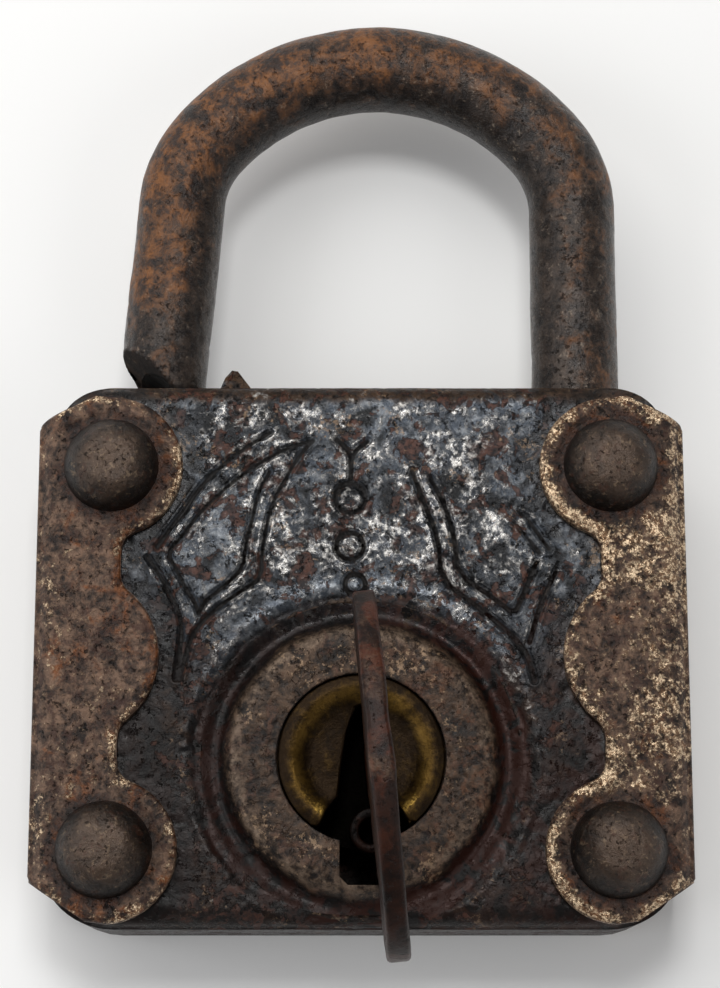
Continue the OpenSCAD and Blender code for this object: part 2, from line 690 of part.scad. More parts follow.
// Ward that hangs inside the boss, open at the bottom where the bit comes in
module ward_ring()
    color(steel)
        translate([0, keyway_y, z_ceiling - ward_h])
            difference() {
                cylinder(h = ward_h + boss_h, r = ward_r + ward_t / 2);
                translate([0, 0, -1]) cylinder(h = ward_h + boss_h + 2, r = ward_r - ward_t / 2);
                translate([-6, -ward_r - 2, -1]) cube([12, ward_r, ward_h + boss_h + 2]);
            }

// Carries what is drawn in the key's plane, with X down the lock and Y out of it, to its place
module in_key_plane()
    translate([0, keyway_y, 0]) rotate([0, 0, key_turn]) translate([key_plane_x, 0, 0])
        rotate([90, 0, -90]) children();

// Rolled edge of the bit, seen along its length
module key_roll(r)
    translate([roll_out, z_key_tip + 0.2, roll_r - key_t / 2 - 0.15]) rotate([-90, 0, 0])
        cylinder(h = z_bit + 0.4 - z_key_tip - 0.2, r = r);

module key() {
    lean_out = (bow_z + z_strap_front - z_key_tip) * tan(key_lean);
    bow_mid = [lean_out, z_strap_front + bow_z];
    color(rust) in_key_plane() difference() {
        union() {
            key_roll(roll_r);
            translate([0, 0, -key_t / 2]) linear_extrude(key_t) {
                difference() {
                    polygon([for (i = [0 : 59]) bow_mid + [bow_w / 2 * cos(6 * i), bow_h / 2 * sin(6 * i)]]);
                    translate(bow_mid) circle(r = bow_hole_r);
                }
                polygon([
                    [-shank_w / 2, z_key_tip + 0.2], [shank_w / 2, z_key_tip + 0.2],
                    [bow_mid[0] + shank_w / 2, bow_mid[1] - bow_h / 2 + 1.4],
                    [bow_mid[0] - shank_w / 2, bow_mid[1] - bow_h / 2 + 1.4]
                ]);
                polygon([
                    [0, z_key_tip + 0.2], [bit_reach, z_key_tip + 0.2],
                    [bit_reach, z_bit - 1], [ward_r + ward_t, z_bit - 0.2],
                    [ward_r + ward_t, z_ceiling - ward_h - ward_gap],
                    [ward_r - ward_t, z_ceiling - ward_h - ward_gap],
                    [ward_r - ward_t, z_bit], [0, z_bit]
                ]);
            }
        }
        translate([0, -1, 0]) key_roll(roll_bore_r);
        translate([0, 1, 0]) key_roll(roll_bore_r);
    }
}

front_case();
back_plate();
left_strap();
right_strap();
front_rivet_top_left();
front_rivet_top_right();
front_rivet_bottom_left();
front_rivet_bottom_right();
back_rivet_top_left();
back_rivet_top_right();
back_rivet_bottom_left();
back_rivet_bottom_right();
shackle();
spring_cap();
shackle_spring();
heel_sleeve();
heel_pin();
toe_guide();
bolt();
bolt_guide_left();
bolt_guide_right();
bolt_leaf();
drum();
crank_pin();
drum_bush();
ward_ring();
key();
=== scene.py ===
"""Rusty riveted padlock: worn steel skins, rust and brass over the lock's fixed frame."""
import json
import math

import bpy
import numpy as np
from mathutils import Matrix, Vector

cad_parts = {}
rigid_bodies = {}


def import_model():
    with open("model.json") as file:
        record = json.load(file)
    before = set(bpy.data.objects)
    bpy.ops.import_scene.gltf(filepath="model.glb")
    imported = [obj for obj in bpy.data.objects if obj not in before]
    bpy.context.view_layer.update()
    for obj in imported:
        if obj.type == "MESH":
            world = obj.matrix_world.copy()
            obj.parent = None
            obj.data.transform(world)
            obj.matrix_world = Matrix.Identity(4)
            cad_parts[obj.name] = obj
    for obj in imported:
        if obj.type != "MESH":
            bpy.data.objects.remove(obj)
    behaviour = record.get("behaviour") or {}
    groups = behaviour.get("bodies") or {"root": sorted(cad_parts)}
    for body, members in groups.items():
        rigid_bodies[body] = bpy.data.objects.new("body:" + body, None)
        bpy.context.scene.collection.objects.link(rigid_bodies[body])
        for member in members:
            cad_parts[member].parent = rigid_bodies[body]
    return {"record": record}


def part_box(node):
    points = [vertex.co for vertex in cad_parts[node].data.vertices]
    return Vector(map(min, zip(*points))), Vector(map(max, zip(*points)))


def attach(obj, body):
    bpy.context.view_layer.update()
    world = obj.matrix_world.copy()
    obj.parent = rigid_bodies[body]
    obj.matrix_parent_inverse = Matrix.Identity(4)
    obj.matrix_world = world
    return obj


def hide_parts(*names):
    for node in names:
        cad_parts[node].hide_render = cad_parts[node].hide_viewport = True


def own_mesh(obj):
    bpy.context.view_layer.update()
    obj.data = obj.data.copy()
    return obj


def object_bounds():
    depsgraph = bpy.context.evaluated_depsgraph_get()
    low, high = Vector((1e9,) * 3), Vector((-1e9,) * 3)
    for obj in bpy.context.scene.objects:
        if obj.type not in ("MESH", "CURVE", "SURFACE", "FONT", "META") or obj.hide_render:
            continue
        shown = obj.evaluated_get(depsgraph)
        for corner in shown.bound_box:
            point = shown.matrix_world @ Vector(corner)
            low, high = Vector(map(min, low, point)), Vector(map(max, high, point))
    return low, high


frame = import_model()
cad_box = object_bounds()

MM = 0.001


# ---------------------------------------------------------------- shapes
def lumps(x, y, cell, seed, z=None):
    """Smooth random swell between -1 and 1: a lattice of random numbers, cell wide, eased between."""
    table = np.random.RandomState(seed).uniform(-1, 1, 4096)
    z = np.zeros_like(x) if z is None else z
    p = [np.asarray(v) / cell + 500.0 for v in (x, y, z)]
    base = [np.floor(v).astype(np.int64) for v in p]
    frac = [v - b for v, b in zip(p, base)]
    ease = [f * f * (3 - 2 * f) for f in frac]
    total = 0.0
    for i in (0, 1):
        for j in (0, 1):
            for k in (0, 1):
                hashed = ((base[0] + i) * 73856093) ^ ((base[1] + j) * 19349663) ^ ((base[2] + k) * 83492791)
                weight = 1.0
                for e, on in zip(ease, (i, j, k)):
                    weight = weight * (e if on else 1 - e)
                total = total + weight * table[hashed & 4095]
    return total


def rough(x, y, cell, seed, z=None, octaves=3):
    """Sum of lumps, each half as wide and half as high as the one before."""
    return sum(lumps(x, y, cell / 2 ** o, seed + o, z) / 2 ** o for o in range(octaves))


def ease(v, lo, hi):
    """Smooth step of v from 0 at lo to 1 at hi."""
    t = np.clip((v - lo) / (hi - lo), 0, 1)
    return t * t * (3 - 2 * t)


def line_distance(x, y, points):
    """Distance from every place to the nearest point of an open line."""
    best = np.full(x.shape, 1e9)
    for (ax, ay), (bx, by) in zip(points[:-1], points[1:]):
        dx, dy = bx - ax, by - ay
        t = np.clip(((x - ax) * dx + (y - ay) * dy) / (dx * dx + dy * dy), 0, 1)
        best = np.minimum(best, np.hypot(x - ax - t * dx, y - ay - t * dy))
    return best


def outline_field(x, y, ring):
    """Signed distance to a closed outline, negative inside, and the outline's nearest place."""
    ring = np.asarray(ring, float)
    best = np.full(x.shape, 1e9)
    nx, ny = np.zeros(x.shape), np.zeros(x.shape)
    inside = np.zeros(x.shape, bool)
    for a, b in zip(ring, np.roll(ring, -1, axis=0)):
        d = b - a
        t = np.clip(((x - a[0]) * d[0] + (y - a[1]) * d[1]) / max(d @ d, 1e-12), 0, 1)
        px, py = a[0] + t * d[0], a[1] + t * d[1]
        dist = np.hypot(x - px, y - py)
        near = dist < best
        best, nx, ny = np.where(near, dist, best), np.where(near, px, nx), np.where(near, py, ny)
        if a[1] != b[1]:
            crosses = ((a[1] > y) != (b[1] > y)) & (x < (b[0] - a[0]) * (y - a[1]) / (b[1] - a[1]) + a[0])
            inside ^= crosses
    return np.where(inside, -best, best), nx, ny


def arc(cx, cy, r, a, b, n=16):
    """Points of a circle's arc, from angle a to angle b in degrees."""
    t = np.radians(np.linspace(a, b, n))
    return [(cx + r * math.cos(v), cy + r * math.sin(v)) for v in t]


def make(name, verts, faces, body, values=None):
    """A piece from places in millimetres and faces, riding on a body, with values kept per place."""
    mesh = bpy.data.meshes.new(name)
    faces = faces if isinstance(faces, list) else faces.tolist()
    mesh.from_pydata((np.asarray(verts) * MM).tolist(), [], faces)
    mesh.validate()
    for key, data in (values or {}).items():
        layer = mesh.attributes.new(key, "FLOAT", "POINT")
        layer.data.foreach_set("value", np.asarray(data, np.float32).ravel())
    mesh.shade_smooth()
    piece = bpy.data.objects.new(name, mesh)
    bpy.context.scene.collection.objects.link(piece)
    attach(piece, body)
    return piece


def plate(outline, height, step, edge, drop, holes=()):
    """A pressed sheet face: a square grid kept inside an outline less its holes, its border moved
    onto them, raised by height(x, y), then a quarter-round edge and a wall down all round."""
    ring = np.asarray(outline, float)
    lo, hi = ring.min(0) - step, ring.max(0) + step
    xs, ys = np.arange(lo[0], hi[0], step), np.arange(lo[1], hi[1], step)
    x, y = np.meshgrid(xs, ys, indexing="ij")
    dist, nx, ny = outline_field(x, y, ring)
    for hole in holes:
        d, hx, hy = outline_field(x, y, hole)
        near = -d > dist
        dist, nx, ny = np.where(near, -d, dist), np.where(near, hx, nx), np.where(near, hy, ny)
    dist = dist + edge
    inner = dist < -0.32 * step
    keep = inner[:-1, :-1] & inner[1:, :-1] & inner[1:, 1:] & inner[:-1, 1:]
    index = np.arange(x.size).reshape(x.shape)
    a, b, c, d = index[:-1, :-1], index[1:, :-1], index[1:, 1:], index[:-1, 1:]
    faces = np.stack([a[keep], b[keep], c[keep], d[keep]], 1)
    padded = np.pad(keep, 1)
    sides = [
        (a, b, padded[1:-1, :-2]), (b, c, padded[2:, 1:-1]),
        (c, d, padded[1:-1, 2:]), (d, a, padded[:-2, 1:-1])]
    rim = np.concatenate([
        np.stack([p[keep & ~n], q[keep & ~n]], 1) for p, q, n in sides])
    border = np.unique(rim)
    x, y, dist, nx, ny = (v.ravel() for v in (x, y, dist, nx, ny))
    out_x, out_y = nx[border] - x[border], ny[border] - y[border]
    size = np.maximum(np.hypot(out_x, out_y), 1e-6)
    out_x, out_y = out_x / size, out_y / size
    x[border] -= out_x * dist[border]
    y[border] -= out_y * dist[border]
    z = height(x, y)
    verts = [np.stack([x, y, z], 1)]
    slot_of = np.zeros(x.size, int)
    slot_of[border] = np.arange(border.size)
    steps = [(edge * math.sin(t), edge * (1 - math.cos(t))) for t in (0.5, 1.05, math.pi / 2)]
    steps.append((edge, edge + drop))
    previous = rim
    parts = [faces]
    for n, (out, down) in enumerate(steps):
        top = verts[0][border]
        verts.append(np.stack([top[:, 0] + out_x * out, top[:, 1] + out_y * out, top[:, 2] - down], 1))
        fresh = x.size + n * border.size + slot_of[rim]
        parts.append(np.stack([previous[:, 0], fresh[:, 0], fresh[:, 1], previous[:, 1]], 1))
        previous = fresh
    verts = np.concatenate(verts)
    faces = np.concatenate(parts)
    used = np.unique(faces)
    renumber = np.zeros(len(verts), int)
    renumber[used] = np.arange(used.size)
    return verts[used], renumber[faces]


def turned(cx, cy, radii, heights, around=96):
    """A turned face about an upright axis: rings of the given radii and heights, closed at a pole."""
    t = np.linspace(0, 2 * math.pi, around, endpoint=False)
    rings = [np.stack([cx + r * np.cos(t), cy + r * np.sin(t), np.full(around, z)], 1)
             for r, z in zip(radii, heights)]
    verts = np.concatenate(rings + [np.array([[cx, cy, heights[-1]]])])
    k = np.arange(around)
    nxt = (k + 1) % around
    faces = [np.stack([i * around + k, i * around + nxt, (i + 1) * around + nxt, (i + 1) * around + k], 1)
             for i in range(len(radii) - 1)]
    last = (len(radii) - 1) * around
    pole = np.stack([last + k, last + nxt, np.full(around, len(verts) - 1)], 1)
    return verts, [f for part in faces for f in part.tolist()] + pole.tolist()


# ---------------------------------------------------------------- the lock's own measures
FRONT = 14.0
SKIN = 0.30
STRAP = 15.2
OUTER = 32.5
KEYWAY = (0.0, -10.2)
RIVET_X, RIVET_Y = 25.0, 19.1
SIDE, TOP, BOTTOM = 31.3, 27.6, -26.6
LIP, BAR_TOP = TOP + 0.35, 11.55
ORNAMENT_X = -1.0

LEAF = [
    [(-3.8, 22.0), (-6.6, 21.2), (-9.4, 19.6), (-12.2, 17.5), (-14.2, 15.6), (-15.8, 13.8), (-16.7, 12.4),
     (-18.4, 10.5), (-17.4, 8.7), (-16.4, 6.7), (-15.4, 5.1), (-15.2, 4.4)],
    [(-20.3, 10.0), (-19.2, 8.3), (-18.0, 6.3), (-17.2, 4.7), (-16.8, 3.0), (-17.0, 0.0), (-17.3, -2.2)],
    [(-8.2, 18.75), (-9.2, 17.1), (-9.9, 14.0), (-10.5, 11.6), (-10.8, 8.9), (-12.8, 6.9), (-14.4, 5.7),
     (-15.2, 4.3)],
    [(-3.8, 22.0), (-5.0, 20.8), (-6.5, 18.3), (-7.9, 15.65), (-8.5, 13.2), (-8.9, 10.55), (-9.0, 7.9),
     (-10.5, 6.9), (-12.8, 5.3), (-14.6, 3.7), (-15.8, 2.15), (-16.4, 0.0), (-17.0, -2.2)],
    [(-8.2, 22.8), (-10.2, 21.6), (-12.3, 20.0), (-14.1, 18.4), (-15.5, 16.7), (-16.8, 14.6), (-18.4, 12.5),
     (-19.4, 11.0)],
]
OTHER_LEAF = [
    [(5.1, 18.8), (6.4, 15.4), (7.7, 11.9), (8.0, 7.7), (12.1, 4.6), (14.9, 2.2), (16.5, 0.2), (17.1, -2.4)],
    [(7.0, 18.0), (8.4, 15.3), (9.3, 12.2), (9.7, 8.2), (13.3, 5.8), (15.2, 4.2), (16.1, 6.1), (17.5, 9.5)],
    [(19.4, 8.5), (17.8, 5.2), (16.7, 1.4)],
]
OTHER_FAINT = [[(17.8, 10.5), (16.1, 12.6), (13.4, 14.9)], [(18.8, 10.8), (16.5, 14.1), (14.2, 15.8)]]
RINGS = [(-1.1, 16.06, 1.5), (-1.1, 11.16, 1.35), (-0.6, 7.3, 1.0)]
STEM = [[(-1.1, 17.6), (-1.0, 18.8), (-1.0, 20.2)], [(-1.0, 20.2), (-1.5, 21.2), (-2.5, 22.1)],
        [(-1.0, 20.2), (-0.4, 21.1), (0.6, 21.9)]]


def smooth_line(points, times=2):
    """Corner-cut a line so that it bends evenly."""
    for _ in range(times):
        p = np.asarray(points, float)
        q = np.empty((2 * len(p) - 2, 2))
        q[0::2] = 0.78 * p[:-1] + 0.22 * p[1:]
        q[1::2] = 0.22 * p[:-1] + 0.78 * p[1:]
        points = [tuple(p[0])] + [tuple(v) for v in q] + [tuple(p[-1])]
    return points


def engraving(x, y):
    """Distance to the nearest engraved line, more for a shallow one."""
    best = np.full(x.shape, 9.0)
    for points in LEAF:
        best = np.minimum(best, 0.06 + line_distance(x - ORNAMENT_X, y, smooth_line(points, 1)))
    for points in OTHER_LEAF:
        best = np.minimum(best, line_distance(x, y, smooth_line(points, 1)))
    for points in OTHER_FAINT:
        fade = 0.05 + 0.5 * ease(17.5 - x, 0.0, 4.5)
        best = np.minimum(best, fade + line_distance(x, y, points))
    for points in STEM:
        best = np.minimum(best, line_distance(x, y, points))
    for cx, cy, r in RINGS:
        best = np.minimum(best, np.abs(np.hypot(x - cx, y - cy) - r))
    return best


def strap_ring(side):
    """Outline of a strap's face, drawn for the left one and turned over for the right one."""
    w, n = 8.6, 2.2
    x0, nx = -OUTER, -OUTER + w + n
    lobe, mid, mid_x = 7.1, 8.3, -28.3
    ay = RIVET_Y - math.sqrt((lobe + n) ** 2 - (nx + RIVET_X) ** 2)
    by = math.sqrt((mid + n) ** 2 - (nx - mid_x) ** 2)
    turn_a = math.degrees(math.atan2(ay - RIVET_Y, nx + RIVET_X))
    turn_b = math.degrees(math.atan2(by, nx - mid_x))
    half = arc(-RIVET_X, RIVET_Y, lobe, 88, turn_a, 40) + arc(nx, ay, n, turn_a + 180, 180, 12)[1:]
    half += arc(nx, by, n, 180, turn_b + 180, 12) + arc(mid_x, 0, mid, turn_b, 0, 24)[1:]
    end = RIVET_Y + lobe + 0.2
    ring = [(x0, end - 2.8), (x0 + 5.7, end)] + half + [(p[0], -p[1]) for p in half[-2::-1]]
    ring += [(x0 + 5.7, -end + 0.5), (x0, -end + 4.3)]
    return [(-side * p[0], p[1]) for p in ring]


def keyway_ring():
    """The round keyway with the slot for the bit below it."""
    cx, cy, r = *KEYWAY, 8.34
    left, right, low = -2.1, 2.9, -22.5
    a = math.degrees(math.atan2(-math.sqrt(r * r - right * right), right))
    b = 360 + math.degrees(math.atan2(-math.sqrt(r * r - left * left), left))
    corner = 0.8
    return arc(cx, cy, r, a, b, 120) + [(left, low + corner), (left + corner, low),
                                        (right - corner, low), (right, low + corner)]


def boss_height(r):
    """Height over the front face of the raised boss, its shoulder and the moat round it."""
    radii = [0, 10.6, 11.4, 12.0, 12.5, 12.9, 13.2, 13.6, 14.0,
             14.4, 14.9, 15.35, 15.8, 16.4, 16.8, 17.2, 17.6, 18.0]
    heights = [1.92, 1.92, 1.89, 1.81, 1.67, 1.42, 1.06, 0.42, -0.2,
               -0.42, -0.38, -0.18, 0.02, 0.05, 0.16, 0.36, 0.40, SKIN]
    return sum(np.interp(r + d, radii, heights) for d in (-0.2, -0.1, 0.0, 0.1, 0.2)) / 5


def face_height(x, y):
    """Front face: rolled edge, boss and moat, engraved lines with raised burrs, dents and pits."""
    r = np.hypot(x - KEYWAY[0], y - KEYWAY[1])
    roll = 2.4
    z = np.full(x.shape, FRONT + SKIN)
    for d in (SIDE - np.abs(x), LIP - y, y - BOTTOM):
        d = np.clip(roll - d, 0, roll)
        z = np.minimum(z, FRONT + SKIN - (roll - np.sqrt(roll * roll - d * d)))
    z = z + np.where(r < 18.2, boss_height(r) - SKIN, 0)
    line = engraving(x, y)
    away = ease(r, 15.6, 16.8)
    cut = np.exp(-(line / 0.34) ** 3) * away
    burr = np.exp(-((line - 0.62) / 0.2) ** 2) * away
    z = z - 0.29 * cut + 0.07 * burr
    swell = 0.05 * rough(x, y, 5.0, 3) + 0.03 * lumps(x, y, 0.8, 9) + 0.02 * lumps(x, y, 0.4, 10)
    pit = ease(lumps(x, y, 1.1, 21) + 0.5 * lumps(x, y, 0.5, 22), 0.62, 1.0)
    return z + swell * (1 - 0.7 * np.exp(-((r - 14.5) / 0.9) ** 2)) * (1 - 0.8 * cut) - 0.09 * pit * (1 - cut)


def strap_height(side):
    """Strap face: bend at the outer side, raised lip along the lobes, dish round each rivet, pits."""
    ring = strap_ring(side)

    def height(x, y):
        bend = 2.6
        d = np.clip(bend - (OUTER - np.abs(x)), 0, bend)
        z = STRAP + 0.12 - (bend - np.sqrt(bend * bend - d * d))
        dist = -outline_field(x, y, ring)[0]
        inner = ease(np.abs(x), 31.6, 29.4)
        rivet = np.hypot(np.abs(x) - RIVET_X, np.abs(y) - RIVET_Y)
        lip = ease(dist, 0.2, 0.8) * (1 - ease(dist, 1.1, 2.3))
        z = z + 0.26 * lip * inner * (0.35 + 0.65 * (1 - ease(rivet, 7.0, 9.5)))
        z = z + 0.1 * (1 - ease(rivet, 4.6, 5.6))
        z = z + 0.07 * (1 + rough(x, y, 3.2, 31 + side)) * inner
        return z + (0.045 * lumps(x, y, 0.9, 41 + side) + 0.03 * lumps(x, y, 0.45, 51 + side)) * inner
    return height, ring


# ---------------------------------------------------------------- materials
def rgb(r, g, b):
    """A colour given as on screen, from 0 to 255, turned to light values."""
    def lin(v):
        v /= 255.0
        return v / 12.92 if v <= 0.04045 else ((v + 0.055) / 1.055) ** 2.4
    return (lin(r), lin(g), lin(b), 1.0)


class Wire:
    """A node's output that can be reckoned with like a number."""

    def __init__(self, tree, socket):
        self.tree, self.socket = tree, socket

    def _math(self, kind, *values, clamp=False):
        return self.tree.node("ShaderNodeMath", {"operation": kind, "use_clamp": clamp},
                              dict(enumerate(values)))

    def __add__(self, other):
        return self._math("ADD", self, other)

    def __sub__(self, other):
        return self._math("SUBTRACT", self, other)

    def __rsub__(self, other):
        return self._math("SUBTRACT", other, self)

    def __mul__(self, other):
        return self._math("MULTIPLY", self, other)

    __radd__, __rmul__ = __add__, __mul__

    def step(self, lo, hi):
        """Smooth step from 0 at lo to 1 at hi."""
        return self.tree.node("ShaderNodeMapRange", {"interpolation_type": "SMOOTHSTEP"},
                              {"Value": self, "From Min": lo, "From Max": hi})

    def clamp(self):
        """The same value, held between 0 and 1."""
        return self._math("ADD", self, 0.0, clamp=True)


class Finish:
    """One material's nodes."""

    def __init__(self, name):
        self.material = bpy.data.materials.new(name)
        self.material.use_nodes = True
        self.nodes = self.material.node_tree.nodes
        self.links = self.material.node_tree.links
        self.nodes.clear()
        place = self.node("ShaderNodeTexCoord", {}, {}, "Object")
        self.mm = self.node("ShaderNodeVectorMath", {"operation": "SCALE"},
                            {0: place, "Scale": 1 / MM}, "Vector")
        parts = self.nodes.new("ShaderNodeSeparateXYZ")
        self.links.new(self.mm.socket, parts.inputs[0])
        self.x, self.y, self.z = (Wire(self, parts.outputs[i]) for i in range(3))

    def node(self, kind, settings, values, output=0):
        """Add a node, set it up, feed its sockets with numbers or wires, and give one output."""
        n = self.nodes.new(kind)
        for key, value in settings.items():
            setattr(n, key, value)
        for key, value in values.items():
            socket = n.inputs[key]
            if isinstance(value, Wire):
                self.links.new(value.socket, socket)
            else:
                socket.default_value = value
        return Wire(self, n.outputs[output])

    def noise(self, scale, detail, rough, warp, seed):
        """Cloudy pattern whose features are about 1 / scale millimetres."""
        return self.node("ShaderNodeTexNoise", {"noise_dimensions": "4D"}, {
            "Vector": self.mm, "W": seed, "Scale": scale, "Detail": detail, "Roughness": rough,
            "Distortion": warp})

    def kept(self, name):
        """A value kept in the piece's places; 0 on a piece without it."""
        return self.node("ShaderNodeAttribute", {"attribute_name": name}, {}, "Fac")

    def mix(self, a, b, mask):
        """Blend from colour a to colour b by mask."""
        n = self.nodes.new("ShaderNodeMix")
        n.data_type = "RGBA"
        for socket, value in ((n.inputs[6], a), (n.inputs[7], b), (n.inputs[0], mask)):
            if isinstance(value, Wire):
                self.links.new(value.socket, socket)
            else:
                socket.default_value = value
        return Wire(self, n.outputs[2])

    def finish(self, colour, roughness, metallic, height, depth=1.0, specular=0.5):
        """Join it up: colour, roughness, metal and a bump of the height given in millimetres."""
        bump = self.node("ShaderNodeBump", {}, {
            "Strength": depth, "Distance": MM, "Height": height}, "Normal")
        sockets = {"Base Color": colour, "Roughness": roughness, "Metallic": metallic, "Normal": bump,
                   "Specular IOR Level": specular}
        shader = self.node("ShaderNodeBsdfPrincipled", {}, sockets, "BSDF")
        out = self.nodes.new("ShaderNodeOutputMaterial")
        self.links.new(shader.socket, out.inputs["Surface"])
        return self.material


def case_finish():
    """Blackened sheet: slate blue-black with a painted pale sheen, pale flakes with painted glints, brown
    rust blotches, pits and painted shade.
    """
    f = Finish("blackened_case_steel")
    big, mid = f.noise(0.09, 5, 0.6, 0.4, 1), f.noise(0.50, 6, 0.62, 0.6, 2)
    fine = f.noise(1.25, 6, 0.68, 0.3, 3)
    grit, blotch = f.noise(2.4, 3, 0.65, 0, 4), f.noise(0.46, 5, 0.62, 0.6, 5)
    line, moat, rim, boss, shade = (f.kept(k) for k in ("line", "moat", "rim", "boss", "shade"))
    skin, ridge, shoulder = (f.kept(k) for k in ("skin", "ridge", "shoulder"))
    groove = (1 - line.step(0.14, 0.42)) * skin
    burr = line.step(0.38, 0.52) * (1 - line.step(0.6, 0.9)) * skin
    high = f.y.step(-14.0, 15.0)
    black = f.mix(rgb(9, 10, 12), rgb(42, 46, 52), (mid * 0.6 + fine * 0.4).step(0.40, 0.64))
    # Painted sheen: a pale blue-grey reflection painted into the upper half, more along the outer ridge and
    # less beside the straps.
    sheen = mid * 0.45 + f.noise(0.20, 4, 0.6, 0.4, 12) * 0.55 + ridge * 0.14 - shade * 0.10
    sheen = sheen.step(0.42, 0.56)
    painted_sheen_colour = f.mix(rgb(78, 85, 94), rgb(150, 154, 158), fine.step(0.40, 0.62))
    black = f.mix(black, painted_sheen_colour, sheen * high * 0.8)
    brown = fine * 0.5 + mid * 0.5 - (1 - high) * (1 - boss) * 0.10
    brown = f.mix(rgb(13, 7, 4), rgb(80, 61, 46), brown.step(0.38, 0.64))
    brownness = (mid * 0.5 + big * 0.45 + fine * 0.1 + (1 - high) * 0.32
                 + rim * 0.3 + boss * 0.55 + (1 - skin) * 0.3)
    brownness = brownness.step(0.62, 0.84)
    colour = f.mix(black, brown, brownness)
    rust = (blotch * 0.9 + fine * 0.15).step(0.56, 0.585) * (0.9 - 0.5 * shade) * (1 - boss * 0.6)
    colour = f.mix(colour, f.mix(rgb(20, 9, 6), rgb(80, 46, 32), fine.step(0.40, 0.62)), rust)
    # Pale bare flakes, with painted glints: more of them in the upper middle and on the burrs, where the
    # lamp's reflection falls.
    middle = (1 - f.x.step(8.0, 20.0)) * f.x.step(-20.0, -8.0)
    zone = f.noise(0.16, 4, 0.6, 0.5, 10) * 0.34 + middle * 0.04
    flakes_and_glints = (fine * 0.36 + mid * 0.66 + grit * 0.04 + zone + high * 0.15
              - shade * 0.18 - boss * 0.16 - rim * 0.12)
    flakes_and_glints = (flakes_and_glints + burr * 0.035 - rust * 0.05 - (1 - skin) * 0.12).step(0.845, 0.94)
    bare = f.mix(rgb(92, 94, 98), rgb(206, 202, 196), (grit * 0.5 + fine * 0.5).step(0.44, 0.60))
    colour = f.mix(colour, bare, flakes_and_glints * 0.85)
    tan = f.noise(1.9, 4, 0.75, 0, 8) * 0.7 + f.noise(0.3, 3, 0.6, 0, 9) * 0.6 + boss * 0.01
    colour = f.mix(colour, rgb(150, 124, 98), tan.step(0.74, 0.80) * 0.6)
    side = boss * f.x.step(2.0, 12.0) * (f.noise(0.4, 5, 0.7, 0.5, 11) * 0.7 + fine * 0.3).step(0.49, 0.60)
    colour = f.mix(colour, rgb(100, 58, 32), side * 0.5)
    # Painted highlight: a pale band along the boss's shoulder.
    colour = f.mix(colour, rgb(132, 116, 100), shoulder * (mid * 0.4 + fine * 0.6).step(0.44, 0.62) * 0.5)
    pits = f.noise(1.5, 4, 0.7, 0.3, 7).step(0.57, 0.64) * (1 - boss * 0.4)
    # Painted shade darkens the engraved grooves, the moat and the strip beside the straps; pits darken as
    # rust. low makes the face darker towards the bottom, and red gives the moat's right side and the lower
    # face a red-brown rust tint.
    low = (1 - high) * (1 - boss) * 0.5
    dark = (pits * 0.75 + groove * 0.95 + moat * 0.7 + shade * 0.5 + low).clamp()
    red = (moat + low) * (f.x.step(-6.0, 12.0) + low) * mid.step(0.40, 0.56)
    shade_and_stain = f.mix(rgb(11, 8, 7), rgb(42, 17, 8), red.clamp())
    colour = f.mix(colour, shade_and_stain, dark)
    roughness = (0.30 - ridge * 0.08 - shade * 0.06 - flakes_and_glints * 0.05 + rust * 0.2
                 + brownness * 0.12 + (grit - 0.5) * 0.5 + groove * 0.2)
    height = mid * 0.2 + fine * 0.17 + grit * 0.06 + flakes_and_glints * 0.05 - pits * 0.18 - rust * 0.10
    height = height * (1 - moat * 0.75) * (1 - boss * 0.4) * (1 - shade * 0.6) * (1 - ridge * 0.6)
    height = height + burr * 0.05
    metal = (0.30 + flakes_and_glints * 0.5 + sheen * high * 0.3 - rust * 0.3 + (1 - f.z.step(10.0, 12.5)) * 0.3).clamp()
    return f.finish(colour, roughness.clamp(), metal, height, 1.0, 0.32)


